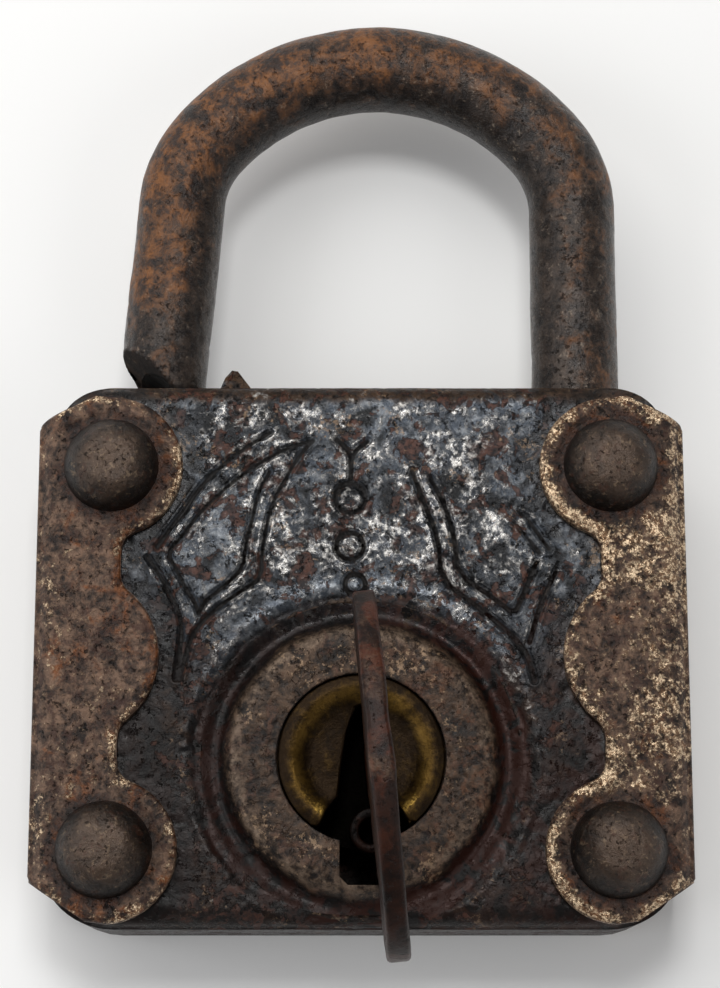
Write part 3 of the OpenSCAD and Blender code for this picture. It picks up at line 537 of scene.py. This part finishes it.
def strap_finish():
    """Brown rusted sheet, bared to a golden tan in specks and along the lobes' lips."""
    f = Finish("rusted_strap_steel")
    big, mid = f.noise(0.10, 5, 0.6, 0.3, 11), f.noise(0.5, 6, 0.7, 0.6, 12)
    fine = f.noise(1.3, 6, 0.72, 0.3, 13)
    grit, clump = f.noise(3.4, 3, 0.7, 0, 14), f.noise(0.9, 5, 0.7, 0.4, 18)
    rim, dish = f.kept("rim"), f.kept("dish")
    colour = f.mix(rgb(24, 14, 9), rgb(122, 96, 78), (mid * 0.55 + fine * 0.45).step(0.40, 0.62))
    colour = f.mix(colour, rgb(58, 35, 26), f.noise(0.8, 5, 0.7, 0.5, 15).step(0.50, 0.62) * 0.8)
    right = f.x.step(-12.0, 28.0) * 0.052
    glaze = f.noise(0.3, 5, 0.65, 0.5, 19) + rim * 0.10 + dish * 0.12 + f.y.step(0.0, 20.0) * 0.02
    glaze = glaze.step(0.565, 0.68)
    orange = f.mix(rgb(30, 14, 6), rgb(118, 66, 26), (mid * 0.5 + fine * 0.5).step(0.42, 0.60))
    colour = f.mix(colour, orange, glaze * 0.85)
    bare = (fine * 0.36 + clump * 0.42 + grit * 0.20 + mid * 0.2 + big * 0.45
            + right + rim * 0.06 - dish * 0.12)
    bare = bare.step(0.86, 0.94)
    gold = f.mix(rgb(126, 98, 74), rgb(234, 208, 174), grit.step(0.44, 0.60))
    colour = f.mix(colour, gold, bare * 0.9)
    # Brown stains, heavier in the dish round each rivet.
    shade_and_stain = (f.noise(0.35, 6, 0.65, 0.7, 16) + dish * 0.14).step(0.52, 0.64)
    brown = f.mix(rgb(24, 15, 12), rgb(62, 36, 25), fine.step(0.42, 0.60))
    colour = f.mix(colour, brown, shade_and_stain * 0.7 * (1 - bare * 0.7))
    pits = f.noise(1.9, 4, 0.75, 0.2, 17).step(0.58, 0.66)
    # Pits darkened as rust; the dish round each rivet's base is darkened as painted shade.
    colour = f.mix(colour, rgb(18, 12, 10), (pits * 0.8 + dish * 0.35).clamp())
    roughness = 0.40 - bare * 0.14 + pits * 0.2 + (grit - 0.5) * 0.5 - glaze * 0.1
    height = mid * 0.2 + fine * 0.19 + grit * 0.08 + bare * 0.04 - pits * 0.22
    return f.finish(colour, roughness.clamp(), 0.15 + bare * 0.6, height, 1.0, 0.3)


def rivet_finish():
    """Smooth rivet heads: dark brown, paler to the crown as painted highlight and darker down the sides as
    painted shade, with rust spots.
    """
    f = Finish("rivet_steel")
    mid, fine = f.noise(0.5, 6, 0.65, 0.6, 21), f.noise(1.7, 5, 0.75, 0.3, 22)
    crown = f.kept("crown")
    # crown paints the highlight at the top of the dome and the shade down its sides.
    colour = f.mix(rgb(10, 6, 4), rgb(84, 66, 52), (mid * 0.55 + fine * 0.15 + crown * 0.5).step(0.55, 1.0))
    colour = f.mix(colour, rgb(66, 38, 25), f.noise(1.1, 5, 0.7, 0.5, 23).step(0.53, 0.66) * 0.6)
    specks = (fine + crown * 0.05).step(0.60, 0.68)
    colour = f.mix(colour, rgb(128, 108, 86), specks * 0.5)
    pits = f.noise(2.2, 4, 0.75, 0.2, 24).step(0.57, 0.67)
    colour = f.mix(colour, rgb(19, 14, 12), pits * 0.6)
    height = mid * 0.24 + fine * 0.14 - pits * 0.14
    return f.finish(colour, (0.33 + pits * 0.25 + (fine - 0.5) * 0.4).clamp(), 0.4, height, 1.0, 0.5)


def shackle_finish():
    """Dark bar with an orange-brown rust film, thickest towards the toe and over the crown."""
    f = Finish("rusted_shackle_steel")
    big, mid = f.noise(0.11, 5, 0.6, 0.8, 31), f.noise(0.5, 6, 0.7, 0.6, 32)
    fine = f.noise(1.2, 5, 0.68, 0.4, 33)
    grit, drift = f.noise(3.8, 3, 0.7, 0, 34), f.noise(0.24, 6, 0.66, 0.9, 37)
    toe = 1 - f.x.step(-10.0, 22.0)
    inner = f.kept("inner")
    crown = f.y.step(44.0, 56.0)
    base = f.mix(rgb(18, 13, 11), rgb(64, 53, 45), (mid * 0.6 + fine * 0.4).step(0.38, 0.62))
    rust = (big * 0.35 + drift * 0.55 + mid * 0.3 + fine * 0.12
            + toe * 0.09 * f.y.step(34.0, 40.0) + crown * 0.05)
    rust = (rust - inner * 0.14).step(0.64, 0.86)
    orange = f.mix(rgb(44, 23, 9), rgb(126, 76, 28), (fine * 0.35 + grit * 0.15 + mid * 0.5).step(0.42, 0.58))
    colour = f.mix(base, orange, rust * 0.85)
    # The bar's inner side carries less rust, and on the crown it is painted dark as shade; the noise adds
    # real dark patches.
    black = inner * 0.75 * crown + f.noise(0.7, 5, 0.7, 0.4, 35).step(0.54, 0.66) * 0.65
    colour = f.mix(colour, rgb(20, 16, 15), black.clamp() * 0.85)
    specks = (fine * 0.7 + grit * 0.4).step(0.63, 0.69)
    colour = f.mix(colour, rgb(146, 132, 116), specks * 0.45 * (1 - rust * 0.6))
    pits = (f.noise(1.8, 4, 0.75, 0.2, 36).step(0.57, 0.67) + f.kept("cut") * 1.1).clamp()
    colour = f.mix(colour, rgb(19, 14, 12), pits * 0.6)
    height = mid * 0.26 + fine * 0.08 + rust * 0.07 + grit * 0.02 - pits * 0.12
    roughness = 0.27 + rust * 0.2 + pits * 0.1 + f.kept("cut") * 0.6 + (grit - 0.5) * 0.4
    return f.finish(colour, roughness.clamp(), (0.35 - rust * 0.3).clamp(), height, 0.9, 0.42)


def brass_finish():
    """Tarnished drum brass: olive brown, brighter yellow in fresh nicks, a painted highlight along the rim,
    and painted shade turning it black deep down.
    """
    f = Finish("tarnished_brass")
    mid, fine = f.noise(0.6, 6, 0.65, 0.5, 41), f.noise(3.0, 5, 0.7, 0, 42)
    rim = f.kept("rim")
    # The rim ring is painted paler, and brighter just below, as a highlight along the rounded rim.
    colour = f.mix(rgb(30, 19, 6), rgb(98, 74, 30), (mid * 0.5 + fine * 0.25 + rim * 0.25).step(0.36, 0.72))
    low = 1 - f.y.step(-15.5, -12.0)
    bright = (fine * 0.5 + mid * 0.2 + rim * 0.26 + low * 0.14).step(0.68, 0.80)
    colour = f.mix(colour, rgb(188, 152, 72), bright * 0.8)
    dark = f.noise(0.9, 5, 0.7, 0.5, 43).step(0.50, 0.64)
    colour = f.mix(colour, rgb(24, 17, 10), dark * 0.65)
    # Painted shade: black deep in the keyway.
    shallow = f.z.step(12.8, 14.7)
    colour = f.mix(rgb(6, 5, 4), colour, shallow)
    height = mid * 0.1 + fine * 0.07
    roughness = (0.36 - bright * 0.1 + dark * 0.15).clamp()
    return f.finish(colour, roughness, 1 - shallow * 0.2, height, 0.9, 0.3)


def key_finish():
    """Key plate: brown steel with rust, a pale worn edge, and painted shade turning it black where it enters
    the lock.
    """
    f = Finish("rusted_key_steel")
    mid, fine = f.noise(0.5, 6, 0.65, 0.6, 51), f.noise(2.6, 6, 0.75, 0, 52)
    worn = f.kept("worn")
    colour = f.mix(rgb(12, 5, 3), rgb(40, 20, 11), (mid * 0.8 + fine * 0.2).step(0.36, 0.64))
    rust = f.noise(0.3, 5, 0.65, 0.6, 53).step(0.50, 0.62)
    colour = f.mix(colour, rgb(74, 36, 20), rust * (0.3 + 0.5 * worn))
    pale = (fine * 0.3 + mid * 0.4 + worn * 0.16).step(0.50, 0.66)
    colour = f.mix(colour, rgb(112, 92, 74), pale * 0.4 * worn)
    pits = f.noise(1.6, 4, 0.75, 0.2, 54).step(0.57, 0.67)
    colour = f.mix(colour, rgb(20, 14, 12), pits * 0.6)
    # Painted shade: black where the key goes down into the lock.
    shallow = f.z.step(8.5, 14.0)
    colour = f.mix(rgb(7, 5, 4), colour, shallow)
    height = mid * 0.12 + fine * 0.05 - pits * 0.08
    roughness = (0.42 + pits * 0.2 - worn * 0.08).clamp()
    return f.finish(colour, roughness, 0.9 - shallow * 0.75, height, 0.9, 0.2)


def inner_finish():
    """Works inside the case: dull grey-brown steel with light rust."""
    f = Finish("dull_inner_steel")
    mid, fine = f.noise(0.6, 5, 0.65, 0.5, 61), f.noise(3.0, 4, 0.7, 0, 62)
    colour = f.mix(rgb(30, 25, 22), rgb(70, 60, 53), (mid * 0.6 + fine * 0.4).step(0.36, 0.64))
    colour = f.mix(colour, rgb(84, 50, 32), f.noise(0.9, 5, 0.7, 0.4, 63).step(0.52, 0.66) * 0.6)
    return f.finish(colour, 0.55, 0.4, mid * 0.12 + fine * 0.06, 0.8)


CASE, STRAPS, RIVETS = case_finish(), strap_finish(), rivet_finish()
SHACKLE, BRASS, KEY, INNER = shackle_finish(), brass_finish(), key_finish(), inner_finish()
BY_SLOT = {"case_steel": CASE, "strap_steel": STRAPS, "rivet_steel": RIVETS, "shackle_steel": SHACKLE,
           "inner_steel": INNER, "drum_brass": BRASS, "key_steel": KEY}


def dress(piece, material):
    """Give a piece one material in every slot it has."""
    if not piece.material_slots:
        piece.data.materials.append(material)
    for s in piece.material_slots:
        s.material = material


for part in frame["record"]["subparts"]:
    dress(bpy.data.objects[part["node"]], BY_SLOT[part["material_slot"]])


# ---------------------------------------------------------------- front face
def build_face():
    """The case's front face with its boss, moat and engraving, as one pressed skin clear of the bar."""
    ring = (arc(SIDE - 7, LIP - 7, 7, 0, 90) + arc(-SIDE + 7, LIP - 7, 7, 90, 180)
            + arc(-SIDE + 7, BOTTOM + 7, 7, 180, 270) + arc(SIDE - 7, BOTTOM + 7, 7, 270, 360))
    verts, faces = plate(ring, face_height, 0.19, 0.05, 1.0, [keyway_ring()])
    x, y = verts[:, 0], verts[:, 1]
    over_bar = y > 26.9
    verts[over_bar, 2] = np.maximum(verts[over_bar, 2], BAR_TOP + 0.13)
    r = np.hypot(x - KEYWAY[0], y - KEYWAY[1])
    away = ease(r, 15.4, 16.6)
    groove = np.minimum(engraving(x, y), 3) + 3 * (1 - away)
    ripple = r + 0.35 * rough(x, y, 2.4, 161)
    moat = np.exp(-(np.maximum(0, np.abs(ripple - 15.05) - 1.15) / 0.5) ** 2)
    boss = 1 - ease(ripple, 13.0, 14.0)
    near_strap = np.full(x.shape, 9.0)
    for side in (-1, 1):
        near_strap = np.minimum(near_strap, outline_field(x, y, strap_ring(side))[0])
    near_strap = near_strap + 0.5 * rough(x, y, 1.8, 151)
    shade = 1 - ease(near_strap, 0.2, 3.4)
    edge = 1 - ease(np.minimum(TOP - y, y - BOTTOM), 0.6, 3.0)
    # moat and shade mark where painted shade goes; ridge and shoulder mark where a painted sheen and a
    # painted highlight go.
    piece = make("case_face", verts, faces, "case", {
        "line": groove, "moat": moat, "boss": boss, "rim": edge, "shade": shade, "skin": np.ones(x.shape),
        "ridge": np.exp(-((r - 17.5) / 0.9) ** 2), "shoulder": np.exp(-((r - 12.5) / 0.75) ** 2)})
    dress(piece, CASE)


def build_straps():
    """The two straps' front faces, with raised lips and dished lobes."""
    for side, name in ((-1, "strap_face_left"), (1, "strap_face_right")):
        height, ring = strap_height(side)
        verts, faces = plate(ring, height, 0.22, 0.4, 0.9)
        verts[:, 0] = np.clip(verts[:, 0], -OUTER, OUTER)
        x, y = verts[:, 0], verts[:, 1]
        dist = -outline_field(x, y, ring)[0]
        rivet = np.hypot(np.abs(x) - RIVET_X, np.abs(y) - RIVET_Y)
        lip = (1 - ease(dist, 0.3, 1.8)) * ease(np.abs(x), 31.8, 30.0)
        dish = (1 - ease(rivet, 4.8, 6.4))
        piece = make(name, verts, faces, "case", {"rim": lip, "dish": dish})
        dress(piece, STRAPS)


def build_rivets():
    """Domed rivet heads, each a turned cap hammered a little out of true."""
    t = np.linspace(0, math.pi / 2, 26)
    for n, (sx, sy, name) in enumerate(((-1, 1, "top_left"), (1, 1, "top_right"),
                                        (-1, -1, "bottom_left"), (1, -1, "bottom_right"))):
        radii = np.concatenate([[4.72, 4.75], 4.72 * np.cos(t[1:-1]) ** 0.86])
        heights = np.concatenate([[STRAP - 0.3, STRAP + 0.25], STRAP + 0.25 + 3.95 * np.sin(t[1:-1]) ** 1.05])
        verts, faces = turned(0, 0, radii, heights, 80)
        x, y, z = verts.T
        lift = np.clip((z - STRAP) / 4.2, 0, 1)
        swell = 0.10 * rough(x, y, 2.6, 60 + 7 * n, z) * ease(lift, 0.02, 0.3)
        flat = np.maximum(0, z - STRAP - 3.75)
        verts[:, 2] = z - 0.55 * flat + swell - 0.05
        spread = 1 + 0.012 * lumps(x, y, 3.0, 80 + n, z)
        verts[:, 0] = x * spread + sx * RIVET_X
        verts[:, 1] = y * spread + sy * RIVET_Y
        # crown: height up the dome, used for the painted highlight at the top and the painted shade down the
        # sides.
        piece = make("rivet_head_" + name, verts, faces, "case", {"crown": lift})
        dress(piece, RIVETS)


# ---------------------------------------------------------------- shackle
BAR, BAR_Z = 4.55, 7.0
HEEL_X, SHOULDER_Y, CROWN_H, SHOULDER_R = 22.3, 48.6, 16.1, 12.0
TOE_X, SPLAY, TOE_END = 19.0, 5.0, 28.1
NECK_R = 3.0
# Each cut at the toe's end: a place on it, then the way it faces
TOE_CUTS = ((-25.0, 32.9, 7.0, -0.70, -0.66, 0.24), (-23.0, 31.0, 11.0, -0.45, -0.62, 0.64))
HALF = (HEEL_X + TOE_X) / 2
MID_X = (HEEL_X - TOE_X) / 2


def shackle_path():
    """Middle line of the bar: up the heel, a shoulder, the crown, a shoulder, down the splayed toe."""
    a, h, r = HALF, CROWN_H, SHOULDER_R
    big = ((a - r) ** 2 + h * h - r * r) / (2 * (h - r))
    turn = math.degrees(math.atan2(a - r, big - h))
    heel_y = np.concatenate([[8.3, 11.2, 11.3, 24.1, 24.2], np.arange(25, SHOULDER_Y, 0.55)])
    heel = [(HEEL_X, y) for y in heel_y]
    arch = arc(HEEL_X - r, SHOULDER_Y, r, 0, 90 - turn, 15)
    arch += arc(MID_X, SHOULDER_Y + h - big, big, 90 - turn, 90 + turn, 82)[1:]
    arch += arc(-TOE_X + r, SHOULDER_Y, r, 90 + turn, 180 - SPLAY, 15)[1:]
    sx, sy = arch[-1]
    t = math.radians(SPLAY)
    length = (sy - TOE_END) / math.cos(t) + 1.2
    toe = [(sx - math.sin(t) * s, sy - math.cos(t) * s) for s in np.arange(0.5, length, 0.4)]
    return np.array(heel + arch + toe)


def build_shackle():
    """The bar: a circle carried along the middle line, pitted, with the toe's broken and cut end."""
    path = shackle_path()
    d = np.gradient(path, axis=0)
    d /= np.linalg.norm(d, axis=1)[:, None]
    out = np.stack([d[:, 1], -d[:, 0]], 1)
    around = 72
    t = np.linspace(0, 2 * math.pi, around, endpoint=False)
    c, s = np.cos(t)[None], np.sin(t)[None]
    radius = np.full(len(path), BAR)
    neck = (path[:, 0] > 20) & (path[:, 1] > 11.25) & (path[:, 1] < 24.15)
    radius[neck] = NECK_R
    x = path[:, :1] + out[:, :1] * c * radius[:, None]
    y = path[:, 1:] + out[:, 1:] * c * radius[:, None]
    z = BAR_Z + s * radius[:, None]
    swell = 0.05 * rough(x, y, 4.0, 101, z) + 0.03 * lumps(x, y, 0.9, 105, z)
    pit = ease(lumps(x, y, 1.6, 107, z) + 0.5 * lumps(x, y, 0.7, 108, z), 0.6, 1.0)
    grow = np.where(y > 27.9, swell - 0.10 * pit - 0.04, -0.01)
    x, y, z = x + out[:, :1] * c * grow, y + out[:, 1:] * c * grow, z + s * grow
    toe = x < -10
    snapped = np.where(toe, 1 - ease(y, TOE_END + 0.1, TOE_END + 0.7), 0.0)
    end = (y < TOE_END) & toe
    y = np.where(end, TOE_END, y)
    for px, py, pz, nx, ny, nz in TOE_CUTS:
        size = math.sqrt(nx * nx + ny * ny + nz * nz)
        nx, ny, nz = nx / size, ny / size, nz / size
        over = np.maximum(0, (x - px) * nx + (y - py) * ny + (z - pz) * nz)
        over = np.where(toe & (y < 36), over, 0)
        snapped = np.maximum(snapped, ease(over, 0.0, 0.25))
        x, y, z = x - nx * over, y - ny * over, z - nz * over
    notch = toe & (y > TOE_END + 2.2) & (y < TOE_END + 4.9) & (z < BAR_Z - 1.4)
    z = np.where(notch, BAR_Z - 1.4, z)
    rows = len(path)
    verts = np.stack([x, y, z], 2).reshape(-1, 3)
    k = np.arange(around)
    nxt = (k + 1) % around
    faces = np.concatenate([
        np.stack([i * around + k, i * around + nxt, (i + 1) * around + nxt, (i + 1) * around + k], 1)
        for i in range(rows - 1)])[:, ::-1].tolist()
    first, last = verts[:around].mean(0), verts[-around:].mean(0)
    verts = np.concatenate([verts, first[None], last[None]])
    n = len(verts)
    tail = (rows - 1) * around
    faces += np.stack([k, nxt, np.full(around, n - 2)], 1).tolist()
    faces += np.stack([tail + nxt, tail + k, np.full(around, n - 1)], 1).tolist()
    inner = np.concatenate([np.repeat(-c, rows, 0).ravel(), [0, 0]])
    # inner marks the side facing into the arch, painted dark as shade on the crown.
    piece = make("shackle_bar_rusted", verts, faces, "shackle_bar", {
        "inner": np.clip(inner * 1.4 - 0.35, 0, 1),
        "cut": np.concatenate([snapped.ravel(), [0, 1]])})
    check_outward(piece)
    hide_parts("shackle")
    dress(piece, SHACKLE)


def check_outward(piece):
    """Turn a closed mesh the right way out if its enclosed volume comes out negative."""
    mesh = piece.data
    mesh.calc_loop_triangles()
    v = np.empty(len(mesh.vertices) * 3)
    mesh.vertices.foreach_get("co", v)
    tri = np.empty(len(mesh.loop_triangles) * 3, np.int32)
    mesh.loop_triangles.foreach_get("vertices", tri)
    p = v.reshape(-1, 3)[tri.reshape(-1, 3)]
    if np.einsum("ij,ij->i", p[:, 0], np.cross(p[:, 1], p[:, 2])).sum() < 0:
        mesh.flip_normals()


# ---------------------------------------------------------------- spring
def build_spring():
    """The coil under the heel: a circle carried along a helix with closed end turns."""
    low, high = (np.array(corner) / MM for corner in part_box("shackle_spring"))
    wire, turns, around = 0.5, 7, 12
    mid_x, mid_z, coil = HEEL_X, BAR_Z, BAR - 0.8
    turn = np.linspace(0, turns, turns * 40 + 1)
    lift = np.interp(turn, [0, 1, turns - 1, turns],
                     [low[1] + wire, low[1] + 3.1 * wire, high[1] - 3.1 * wire, high[1] - wire])
    t = np.linspace(0, 2 * math.pi, around, endpoint=False)
    reach = coil + wire * np.cos(t)[None]
    a = 2 * math.pi * turn[:, None]
    x, z = mid_x + reach * np.cos(a), mid_z + reach * np.sin(a)
    y = lift[:, None] + wire * np.sin(t)[None]
    verts = np.stack([x, y, z], 2).reshape(-1, 3)
    rows, k = len(turn), np.arange(around)
    nxt = (k + 1) % around
    i = np.arange(rows - 1)[:, None] * around
    sides = np.stack([i + k, i + nxt, i + around + nxt, i + around + k], 2).reshape(-1, 4).tolist()
    ends = [k[::-1].tolist(), (k + (rows - 1) * around).tolist()]
    piece = make("spring_coil", verts, sides + ends, "case")
    check_outward(piece)
    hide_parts("shackle_spring")
    dress(piece, INNER)
    slide = next(j for j in frame["record"]["behaviour"]["joints"] if j["name"] == "shackle_slide")
    length = high[1] - low[1]
    (length + slide["range_m"][0] / MM) / length
    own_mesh(piece)


# ---------------------------------------------------------------- drum
def drum_ring():
    """Outline of the drum's face: a circle cut by the pear-shaped key slot, open at the bottom."""
    cx, cy, r = *KEYWAY, 8.18
    right = [(2.1, 5.1), (2.9, 2.0), (3.1, -3.4), (4.5, -5.8)]
    left = [(-4.0, -6.4), (-3.6, -5.2), (-2.3, -3.6), (-1.9, -0.4), (-1.5, 2.6), (-0.7, 5.1), (0.5, 5.5)]
    a = math.degrees(math.atan2(-math.sqrt(r * r - 4.9 ** 2), 4.9))
    b = 360 + math.degrees(math.atan2(-math.sqrt(r * r - 4.6 ** 2), -4.6))
    return arc(cx, cy, r, a, b, 90) + [(cx + p[0], cy + p[1]) for p in left + right]


def drum_height(x, y):
    """Drum face: a rounded rim, then a dish with turned rings and wear."""
    r = np.hypot(x - KEYWAY[0], y - KEYWAY[1])
    z = np.interp(r, [0, 4.0, 4.9, 5.4, 5.8, 6.2, 6.6, 7.1, 7.6, 8.0, 8.3],
                  [14.72, 14.76, 14.84, 15.0, 15.3, 15.6, 15.8, 15.9, 15.84, 15.68, 15.6])
    return z + 0.05 * rough(x, y, 2.0, 121)


def build_drum():
    """The brass drum's worn face over the turned drum."""
    verts, faces = plate(drum_ring(), drum_height, 0.14, 0.22, 5.5)
    r = np.hypot(verts[:, 0] - KEYWAY[0], verts[:, 1] - KEYWAY[1])
    # rim marks the ring where the painted highlight goes.
    piece = make("drum_face", verts, faces, "drum_and_key",
                 {"rim": np.exp(-((r - 6.4) / 0.75) ** 2)})
    dress(piece, BRASS)


# ---------------------------------------------------------------- key
def slab(outline, half, edge, step, holes=()):
    """A flat piece with rounded edges, worn a little uneven: two equal faces back to back."""
    def height(x, y):
        return half + 0.07 * rough(x, y, 4.0, 141) + 0.12 * np.exp(-((x - 4.5) / 3.0) ** 2) * (y > 40) - 0.05
    verts, faces = plate(outline, height, step, edge, half - edge, holes)
    verts[verts[:, 2] < 0.3, 2] = 0.0
    back = verts * (1, 1, -1)
    return np.concatenate([verts, back]), np.concatenate([faces, faces[:, ::-1] + len(verts)])


def build_key():
    """The key: a stamped plate with a wide oval bow and hole, its bit, and the roll round its stem."""
    cu, cz, a, b = 3.738, 33.8, 16.75, 11.5
    t = np.radians(np.linspace(-81.5, 259.5, 110))
    shank = [(0.35, 20.2), (-2.5, 7.4), (2.5, 7.4), (5.45, 20.2)]
    bow = [(cu + a * math.cos(v), cz + b * math.sin(v)) for v in t]
    left = smooth_line([bow[-1], (0.85, 22.2), shank[0]], 3)
    right = smooth_line([shank[3], (5.95, 22.2), bow[0]], 3)
    hole = arc(cu, cz, 5.0, 0, 354, 60)
    verts, faces = slab(bow + left[1:] + shank[1:3] + right[:-1], 1.1, 0.42, 0.26, [hole])
    bit = [(0, 7.4), (12, 7.4), (12, 10.3), (10.8, 11.1), (10.8, 10.4), (9.2, 10.4), (9.2, 11.3), (0, 11.3)]
    more, extra = slab(bit, 1.08, 0.2, 0.2)
    outer, inner = [2.25] * 3 + [2.1], [1.3] * 3 + [1.45]
    high = [7.4, 9.5, 11.5, 11.7]
    around = 48
    s = np.linspace(0, 2 * math.pi, around, endpoint=False)
    rings = list(zip(outer, high)) + list(zip(inner[::-1], high[::-1]))
    roll = np.concatenate([
        np.stack([6.8 + r * np.cos(s), np.full(around, z), -1.0 + r * np.sin(s)], 1) for r, z in rings])
    k = np.arange(around)
    nxt = (k + 1) % around
    n = len(rings)
    hoop = np.concatenate([np.stack([i * around + k, (i + 1) % n * around + k, (i + 1) % n * around + nxt,
                                     i * around + nxt], 1) for i in range(n)])
    c, q = math.cos(math.radians(5.5)), math.sin(math.radians(5.5))
    for name, v, f in (("key_plate", verts, faces), ("key_bit", more, extra), ("key_roll", roll, hoop)):
        u, z, w = v.T
        placed = np.stack([(1.4 + w) * c + u * q, -10.2 + (1.4 + w) * q - u * c, z], 1)
        ring = np.hypot((u - cu) / a, (z - cz) / b)
        worn = ease(ring, 0.85, 1.0) * ease(-u, -8.0, 4.0) + np.exp(-((u - 4.5) / 2.2) ** 2) * (z > 44)
        piece = make(name, placed, f, "drum_and_key", {"worn": worn})
        check_outward(piece)
        dress(piece, KEY)
        if name == "key_plate":
            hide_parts("key")


build_face()
build_straps()
build_rivets()
for corner in ("top_left", "top_right", "bottom_left", "bottom_right"):
    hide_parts("front_rivet_" + corner)
build_shackle()
build_spring()
build_drum()
build_key()


# ---------------------------------------------------------------- stage
def build_stage():
    """A wide pale floor under the rivet tails."""
    mesh = bpy.data.meshes.new("floor")
    z = cad_box[0][2] - 0.00002
    mesh.from_pydata([(-3, -3, z), (3, -3, z), (3, 3, z), (-3, 3, z)], [], [(0, 1, 2, 3)])
    floor = bpy.data.objects.new("floor", mesh)
    bpy.context.scene.collection.objects.link(floor)
    f = Finish("pale_floor")
    tone = f.mix(rgb(242, 242, 240), rgb(246, 246, 245), f.noise(0.02, 3, 0.5, 0, 71))
    dress(floor, f.finish(tone, 0.9, 0.0, f.noise(0.5, 3, 0.5, 0, 72) * 0.05, 0.3))


def lamp(name, place, aim, size, watts, tint=(1, 1, 1)):
    """A square soft lamp at a place, facing another."""
    data = bpy.data.lights.new(name, "AREA")
    data.shape, data.size, data.energy, data.color = "SQUARE", size, watts, tint
    ob = bpy.data.objects.new(name, data)
    bpy.context.scene.collection.objects.link(ob)
    ob.location = place
    d = [a - b for a, b in zip(aim, place)]
    flat = math.hypot(d[0], d[1])
    ob.rotation_euler = (math.atan2(flat, -d[2]), 0, math.atan2(-d[0], d[1]))


build_stage()
lamp("top_softbox", (-0.20, 0.40, 0.50), (0, 0.02, 0), 0.60, 2.2, (1.0, 0.99, 0.97))
lamp("overhead", (0.01, 0.155, 0.50), (0, 0.01, 0), 0.11, 0.75)
lamp("left_fill", (-0.50, -0.05, 0.35), (0, 0, 0), 0.40, 1.15, (0.97, 0.98, 1.0))
lamp("right_fill", (0.45, -0.20, 0.40), (0, 0, 0), 0.40, 0.7)
world = bpy.data.worlds.new("studio")
bpy.context.scene.world = world
world.use_nodes = True
background = world.node_tree.nodes["Background"]
background.inputs["Color"].default_value = (0.96, 0.95, 0.97, 1)
background.inputs["Strength"].default_value = 0.26

camera_data = bpy.data.cameras.new("camera")
camera_data.sensor_fit = "HORIZONTAL"
camera_data.sensor_width = 36
camera_data.lens = 125
camera_data.clip_start = 0.01
camera = bpy.data.objects.new("camera", camera_data)
bpy.context.scene.collection.objects.link(camera)
camera.location = (-0.00012, -0.0383, 0.2592)
camera.rotation_euler = (math.radians(12.6), 0, 0)
bpy.context.scene.camera = camera
bpy.context.scene.view_settings.view_transform = "Standard"
